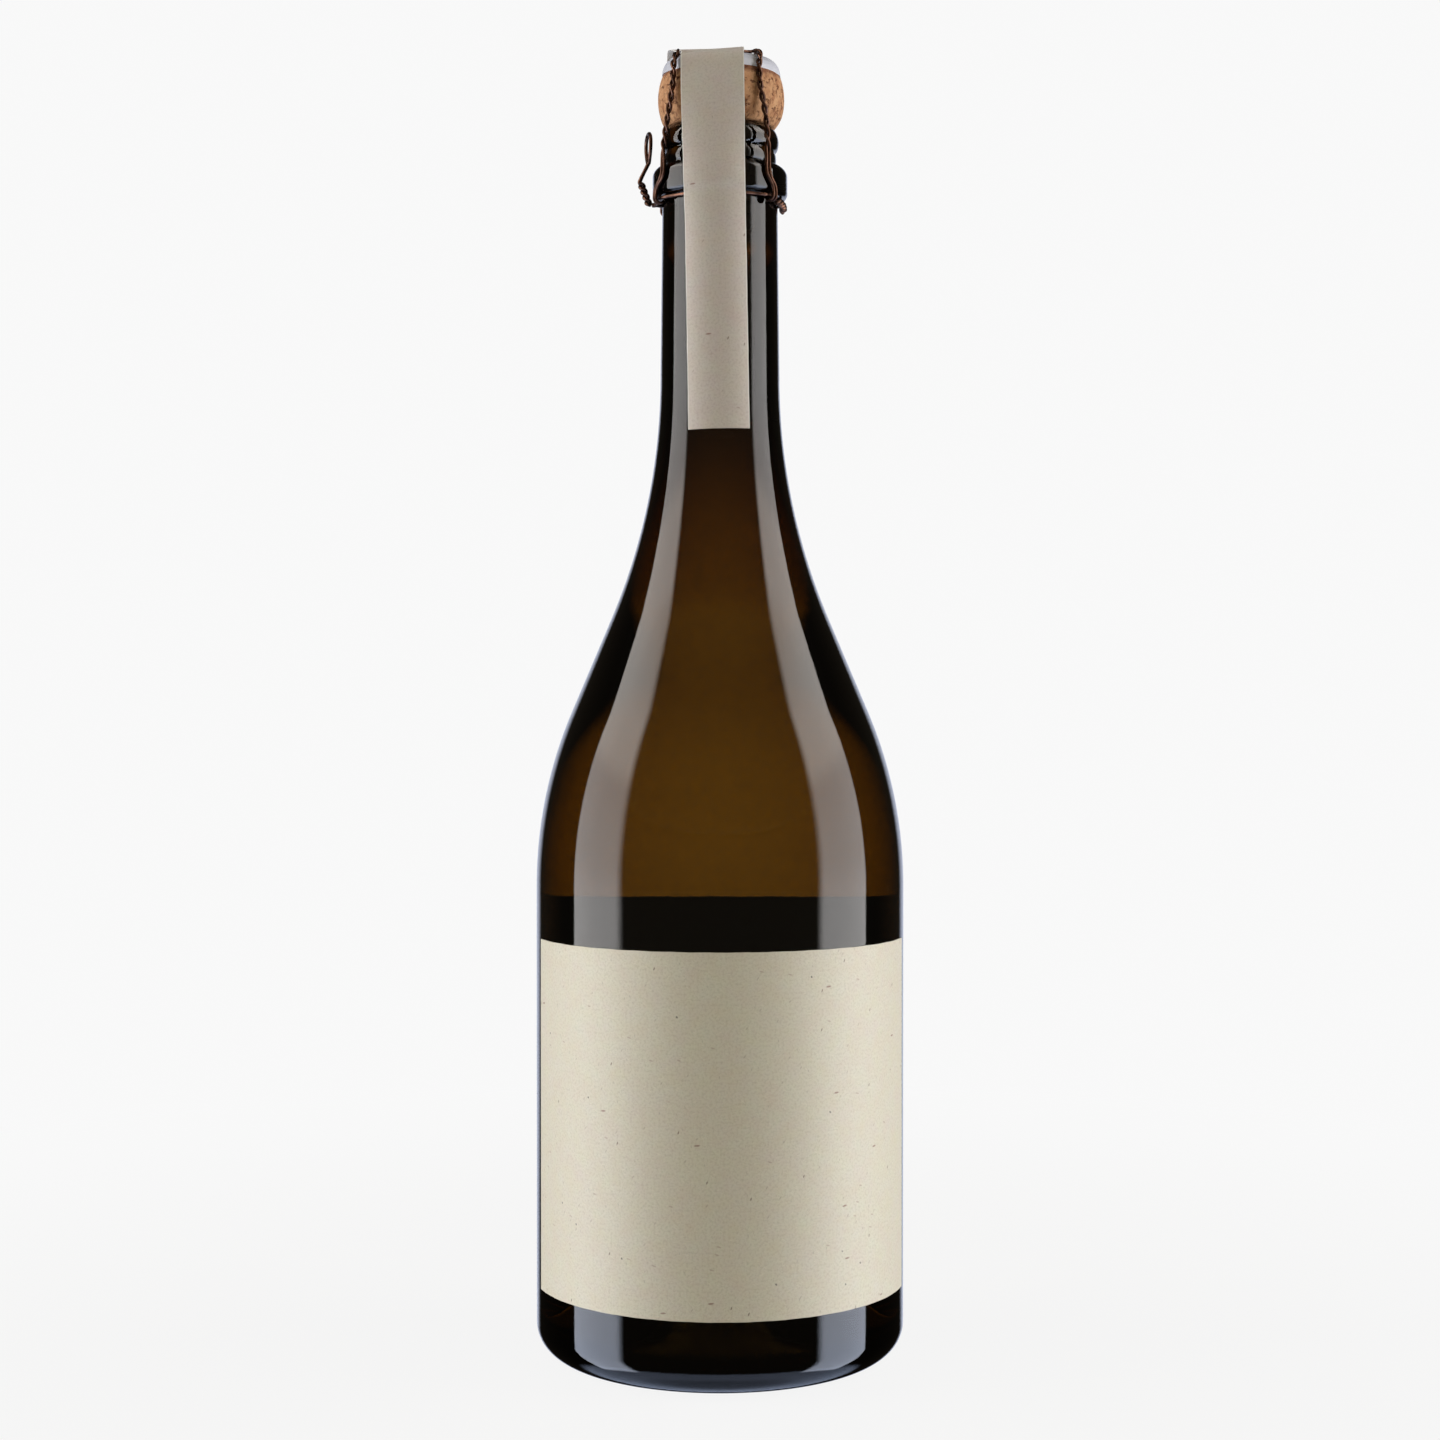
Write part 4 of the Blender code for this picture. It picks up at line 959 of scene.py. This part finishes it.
def cork_look(name, light, middle, dark, pits, edge=None):
    """Cork: pressed grains of several tones without seams, dark pores, and painted shade below the cap's
    edge.
    """
    m = Look(name)
    warp = m.texture("TexNoise", "object", Scale=900.0, Detail=3.0)
    place = m.add("TexCoord").outputs["Object"]
    grains = m.add("TexVoronoi", Scale=640.0, Randomness=1.0)
    m.link(m.mix(place, warp.outputs["Color"], 0.0016, "ADD"), grains.inputs["Vector"])
    pick = m.red(grains.outputs["Color"])
    grained = m.ramp(pick, (0.0, dark), (0.35, middle), (0.75, light), (1.0, middle))
    soft = m.texture("TexNoise", "object", Scale=330.0, Detail=6.0, Roughness=0.7)
    cloudy = m.ramp(soft.outputs["Fac"], (0.30, dark), (0.47, middle), (0.62, light))
    tone = m.mix(cloudy, grained, 0.40)
    streaks = m.texture("TexNoise", "object", (900, 900, 380), Scale=1.0, Detail=4.0, Roughness=0.65)
    streak = m.ramp(streaks.outputs["Fac"], (0.53, grey(0)), (0.64, grey(0.72)))
    tone = m.mix(tone, tuple(c * 0.55 for c in dark), streak)
    pores = m.texture("TexNoise", "object", (640, 640, 900), Scale=1.0, Detail=5.0, Roughness=0.65)
    pore = m.ramp(pores.outputs["Fac"], (0.57, grey(0)), (0.625, grey(pits)))
    tone = m.mix(tone, (0.110, 0.036, 0.018), pore)
    # Painted shade: the cork darkens to reddish brown towards the cap's edge, where the cap shades it
    if edge:
        forward, right = (math.tan(math.radians(a)) for a in CAP_TILT)
        slope = m.add("VectorMath", operation="DOT_PRODUCT")
        slope.inputs[1].default_value = (right, -forward, 1)
        m.link(place, slope.inputs[0])
        painted_shade = m.step(slope.outputs["Value"], edge - PAINTED_CAP_SHADE[0], edge - PAINTED_CAP_SHADE[1], 0.0, 0.75, kind="LINEAR")
        tone = m.mix(tone, (0.17, 0.055, 0.03), painted_shade)
    m.bump(m.mix(pore, soft.outputs["Color"], 0.35, "ADD"), 0.8, 0.0002, invert=True)
    m.set(Base_Color=tone, Roughness=0.72, Specular_IOR_Level=0.3)
    return m.material


def cap_look():
    """Pale lacquered sheet steel with faint smears."""
    m = Look("pale_lacquered_steel")
    smear = m.texture("TexNoise", "object", Scale=240.0, Detail=4.0)
    m.set(Base_Color=m.ramp(smear.outputs["Fac"], (0.35, (0.62, 0.645, 0.76)), (0.65, (0.70, 0.72, 0.83))))
    rough = m.ramp(smear.outputs["Fac"], (0.3, grey(0.42)), (0.7, grey(0.55)))
    m.set(Roughness=rough, Metallic=0.0, Coat_Weight=0.15, Coat_Roughness=0.25)
    m.bump(smear.outputs["Fac"], 0.08, 0.0001)
    return m.material


def wire_look():
    """Bronzed steel wire: dark brown with coppery drawn streaks along it."""
    m = Look("bronzed_steel_wire")
    drawn = m.texture("TexNoise", "flat", (9000, 500, 1), Scale=1.0, Detail=3.0)
    patches = m.texture("TexNoise", "object", Scale=500.0, Detail=3.0)
    tones = ((0.30, (0.060, 0.028, 0.018)), (0.55, (0.17, 0.085, 0.055)), (0.8, (0.44, 0.25, 0.19)))
    dull = m.ramp(patches.outputs["Fac"], (0.45, grey(0)), (0.65, grey(0.7)))
    tone = m.mix(m.ramp(drawn.outputs["Fac"], *tones), (0.030, 0.018, 0.014), dull)
    rough = m.ramp(patches.outputs["Fac"], (0.3, grey(0.22)), (0.7, grey(0.45)))
    m.set(Base_Color=tone, Roughness=rough, Metallic=1.0)
    m.bump(drawn.outputs["Fac"], 0.2, 0.00002)
    return m.material


def glass_and_wine():
    line = finer(np.concatenate([glass_inside(), glass_outside()[1:]]), GLASS_POINTS)
    wine = finer(wine_outline(), GLASS_POINTS)[::-1]
    extra = {"body": "bottle_body", "slot": "amber_glass"}
    lathe("glass_bottle", line, GLASS_STEPS, glass_look(), replaced=["bottle"], **extra)
    lathe("wine", wine, WINE_STEPS, wine_look(), **extra)


def papers():
    paper = paper_look("label_paper", (0.80, 0.763, 0.663), (0.60, 0.555, 0.455), 1.0)
    label("front_label", FRONT_LABEL, paper, seed=3)
    label("back_label", BACK_LABEL, paper, seed=5)
    white = (0.95, 0.94, 0.93)
    seal_strip(paper_look("strip_paper", (0.705, 0.645, 0.612), (0.53, 0.47, 0.44), 0.4, white))


def cork_outline():
    """Cork above its discs: an elliptic bulge on a straight shank, stopped under the cap's inside."""
    reach, below, above = CORK_BEND
    centre = (CORK - reach, HEIGHT + BULGE)
    start = math.degrees(math.asin((BULGE - GAP) / below))
    low, shank = HEIGHT - CORK_INSERTED + 2 * (CORK_DISC + GAP), MOUTH - GAP
    near, far, drop = CORK_FOOT
    parts = [
        [(0, low), (shank, low), (shank, HEIGHT - drop)],
        [(MOUTH + near, HEIGHT + GAP), (MOUTH + far, HEIGHT + GAP)],
        arc(centre, (reach, below), -start, 0, 14),
        arc(centre, (reach, above), 4, 43, 10),
    ]
    return np.concatenate(parts)


def cork_head():
    """The cork: its outline turned, then a ledge and a dome inside the tilted cap, with shallow dents."""
    tones = ((0.69, 0.41, 0.235), (0.53, 0.275, 0.145), (0.32, 0.13, 0.065))
    looks = cork_look("pressed_cork", *tones, 0.8, CAP_EDGE)
    hollow = finer(inset(cap_outline(), CAP_SHEET + CAP_SEAT)[::-1], HOLLOW_POINTS)
    outside = turned(finer(cork_outline(), CORK_POINTS), CORK_STEPS)
    shape = np.concatenate([outside, tilted(turned(hollow, CORK_STEPS))])
    above, turn = shape[..., 2] - HEIGHT, np.radians(-360 * np.arange(CORK_STEPS) / CORK_STEPS)
    start, middle, reach = CORK_DENT_HEIGHTS
    bulge = np.exp(-(((above - middle) / reach) ** 2)) * (above > start)
    dents = np.sin(3 * turn + 0.7) + 0.6 * np.sin(7 * turn + 2)
    shape[..., :2] *= (1 + CORK_DENT_SHARE * bulge * dents)[..., None]
    shape[..., 0] += HEAD_SHIFT * np.clip((above - GAP) / HEAD_SHIFT_RISE, 0, 1)
    mesh_piece("pressed_cork", shape, looks, "cork_plug", "agglomerated_cork", replaced=["cork_body"])


def cork_discs():
    """Two discs of natural cork under the pressed one, their lower edges rounded."""
    tones = ((0.62, 0.38, 0.22), (0.50, 0.29, 0.16), (0.34, 0.17, 0.09))
    looks = cork_look("disc_cork", *tones, 0.7)
    rim, bend = MOUTH - GAP, DISC_ROUNDING
    for count, name in ((1, "cork_disc_upper"), (0, "cork_disc_lower")):
        low = HEIGHT - CORK_INSERTED + count * (CORK_DISC + GAP)
        edge = arc((rim - bend, low + bend), (bend, bend), -90, 0, 6)
        ring = np.concatenate([[(0, low)], edge, [(rim, low + CORK_DISC), (0, low + CORK_DISC)]])
        extra = {"replaced": [name], "slot": "natural_cork"}
        lathe("natural_" + name, finer(ring, DISC_POINTS), DISC_STEPS, looks, "cork_plug", **extra)


def cap_plate():
    """The cap: its outline and the same line inset by the sheet, turned and tilted."""
    outside, inside = cap_outline(), inset(cap_outline(), CAP_SHEET)[::-1]
    shell = np.concatenate([finer(outside, CAP_POINTS), finer(inside, CAP_POINTS)])[::-1]
    points = tilted(turned(shell, CAP_STEPS)) + np.array((HEAD_SHIFT, 0, 0))
    mesh_piece("cap_plate", points, cap_look(), "cage", "lacquered_steel", replaced=["metal_cap"])


def wires():
    looks = wire_look()
    pieces = (
        ("twisted_cage", "cage_wire", cage_line(), CAGE_WIRE, CAGE_SIDES, "cage"),
        ("belt_wire_front", "belt_front", belt_line(1), BELT_WIRE, BELT_SIDES, "cage"),
        ("belt_wire_back", "belt_back", belt_line(-1), BELT_WIRE, BELT_SIDES, "cage"),
        ("loop_wire", "pull_loop", loop_line(), BELT_WIRE, BELT_SIDES, "loop"),
    )
    for name, node, line, thick, sides, body in pieces:
        closed = node == "cage_wire"
        tube(name, line, thick, sides, looks, body, closed, replaced=[node], slot="bronzed_steel")


def floor():
    """A pale floor as bright as the backdrop, which keeps a faint shadow and leaves the reflections free."""
    data = bpy.data.meshes.new("floor")
    turn = 2 * np.pi * np.arange(FLOOR_STEPS) / FLOOR_STEPS
    ring = np.stack([FLOOR_RADIUS * np.cos(turn), FLOOR_RADIUS * np.sin(turn), 0 * turn], -1)
    data.from_pydata(ring.tolist(), [], [list(range(FLOOR_STEPS))])
    made = bpy.data.objects.new("floor", data)
    bpy.context.scene.collection.objects.link(made)
    m = Look("pale_floor")
    path = m.add("LightPath").outputs
    length = m.add("VectorMath", operation="LENGTH")
    m.link(m.add("TexCoord").outputs["Object"], length.inputs[0])
    far = length.outputs["Value"]
    bright = m.add("Emission", Color=(1, 1, 1, 1), Strength=BACKDROP).outputs[0]
    dull = m.add("BsdfDiffuse", Color=(0.8, 0.8, 0.8, 1)).outputs[0]
    shaded = m.layered(bright, dull, m.step(far, *FLOOR_REACH, FLOOR_SHADE, 0.0))
    # Painted shade: seen through the glass, the floor near the bottle is black
    dark = m.calc("MULTIPLY", m.calc("LESS_THAN", far, PAINTED_SHADE_REACH), path["Is Transmission Ray"])
    black = m.add("Emission", Strength=0.0).outputs[0]
    clear = m.layered(m.add("BsdfTransparent").outputs[0], black, dark)
    m.link(m.layered(clear, shaded, path["Is Camera Ray"]), m.out.inputs["Surface"])
    data.materials.append(m.material)


def softbox(name, azimuth, power):
    """A rectangular light that faces the axis. Its reflections come from the world's panels."""
    data = bpy.data.lights.new(name, "AREA")
    data.shape = "RECTANGLE"
    data.size, data.size_y = SOFTBOX_SIZE
    data.energy = power
    data.color = SOFTBOX_COLOUR
    made = bpy.data.objects.new(name, data)
    made.location = Vector(polar(float(azimuth), SOFTBOX_DISTANCE, SOFTBOX_HEIGHT))
    aim = Vector((0, 0, SOFTBOX_HEIGHT)) - made.location
    made.rotation_euler = aim.to_track_quat("-Z", "Y").to_euler()
    made.visible_glossy = False
    made.visible_transmission = False
    bpy.context.scene.collection.objects.link(made)


def studio():
    """The studio round the bottle, by the direction of a ray.

    Reflections see two tall soft panels at the sides, a bright strip right behind and a little of the pale
    table. What is seen through the glass is the backdrop, darker higher up. The camera sees it nearly white.
    """
    made = bpy.data.worlds.new("studio")
    bpy.context.scene.world = made
    w = Nodes(made)
    w.tree.nodes.clear()
    split = w.add("SeparateXYZ")
    w.link(w.add("TexCoord").outputs["Generated"], split.inputs[0])
    x, y, z = split.outputs
    path = w.add("LightPath").outputs
    azimuth = w.calc("DEGREES", w.calc("ARCTAN2", w.calc("ABSOLUTE", x), w.calc("MULTIPLY", y, -1.0)))
    panel = w.calc("MULTIPLY", w.step(azimuth, *PANEL_INNER), w.step(azimuth, *PANEL_OUTER))
    panel = w.calc("MULTIPLY", panel, w.step(z, *PANEL_FOOT))
    panel = w.calc("MULTIPLY", panel, w.step(z, *PANEL_HEAD))
    light = w.tint(PANEL_TONES[0][1])
    for (low, _), (high, colour) in zip(PANEL_TONES, PANEL_TONES[1:]):
        light = w.mix(light, w.tint(colour), w.step(z, low, high))
    mirrored = w.mix(light, w.tint((1.0, 1.0, 1.0), panel), mode="MULTIPLY")
    mirrored = w.mix(mirrored, w.tint(RIM_LIGHT, w.step(y, *RIM_REACH)), mode="ADD")
    table = w.calc("MULTIPLY", w.step(z, *TABLE_FAR), w.step(z, *TABLE_NEAR))
    mirrored = w.mix(mirrored, w.tint(TABLE_GLINT, table), mode="ADD")
    room = w.calc("MULTIPLY", w.step(y, *ROOM_REACH), w.step(z, *ROOM_FOOT))
    mirrored = w.mix(mirrored, w.tint(DARK_ROOM, room), mode="ADD")
    height = w.calc("MULTIPLY", w.step(z, *BACKDROP_RISE), w.step(z, *BACKDROP_FALL))
    height = w.calc("MULTIPLY", height, w.step(z, *BACKDROP_FOOT))
    behind = w.calc("MULTIPLY", w.step(y, *BACKDROP_REACH), height)
    through = w.tint((1.0, 1.0, 1.0), w.calc("MULTIPLY", behind, BEHIND))
    seen = w.mix(w.tint(FILL_COLOUR, w.step(y, *FILL)), mirrored, path["Is Glossy Ray"])
    seen = w.mix(seen, through, path["Is Transmission Ray"])
    seen = w.mix(seen, w.tint((1.0, 1.0, 1.0), BACKDROP), path["Is Camera Ray"])
    back = w.add("Background")
    w.link(seen, back.inputs["Color"])
    w.link(back.outputs[0], w.add("OutputWorld").inputs["Surface"])


def camera():
    """The photograph's view: 590 mm from the axis, 159 mm above the base, tipped 0.6 degrees down."""
    data = bpy.data.cameras.new("camera")
    data.sensor_width = SENSOR
    data.lens = PHOTO_FOCAL / PHOTO_SIDE * SENSOR
    data.clip_start = 0.05
    made = bpy.data.objects.new("camera", data)
    made.location = CAMERA_PLACE
    made.rotation_euler = (math.radians(90 - CAMERA_DIP), 0, 0)
    bpy.context.scene.collection.objects.link(made)
    bpy.context.scene.camera = made
    bpy.context.scene.view_settings.view_transform = "Standard"


glass_and_wine()
papers()
cork_head()
cork_discs()
cap_plate()
wires()
floor()
for name, azimuth, power in SOFTBOXES:
    softbox(name, azimuth, power)
studio()
camera()
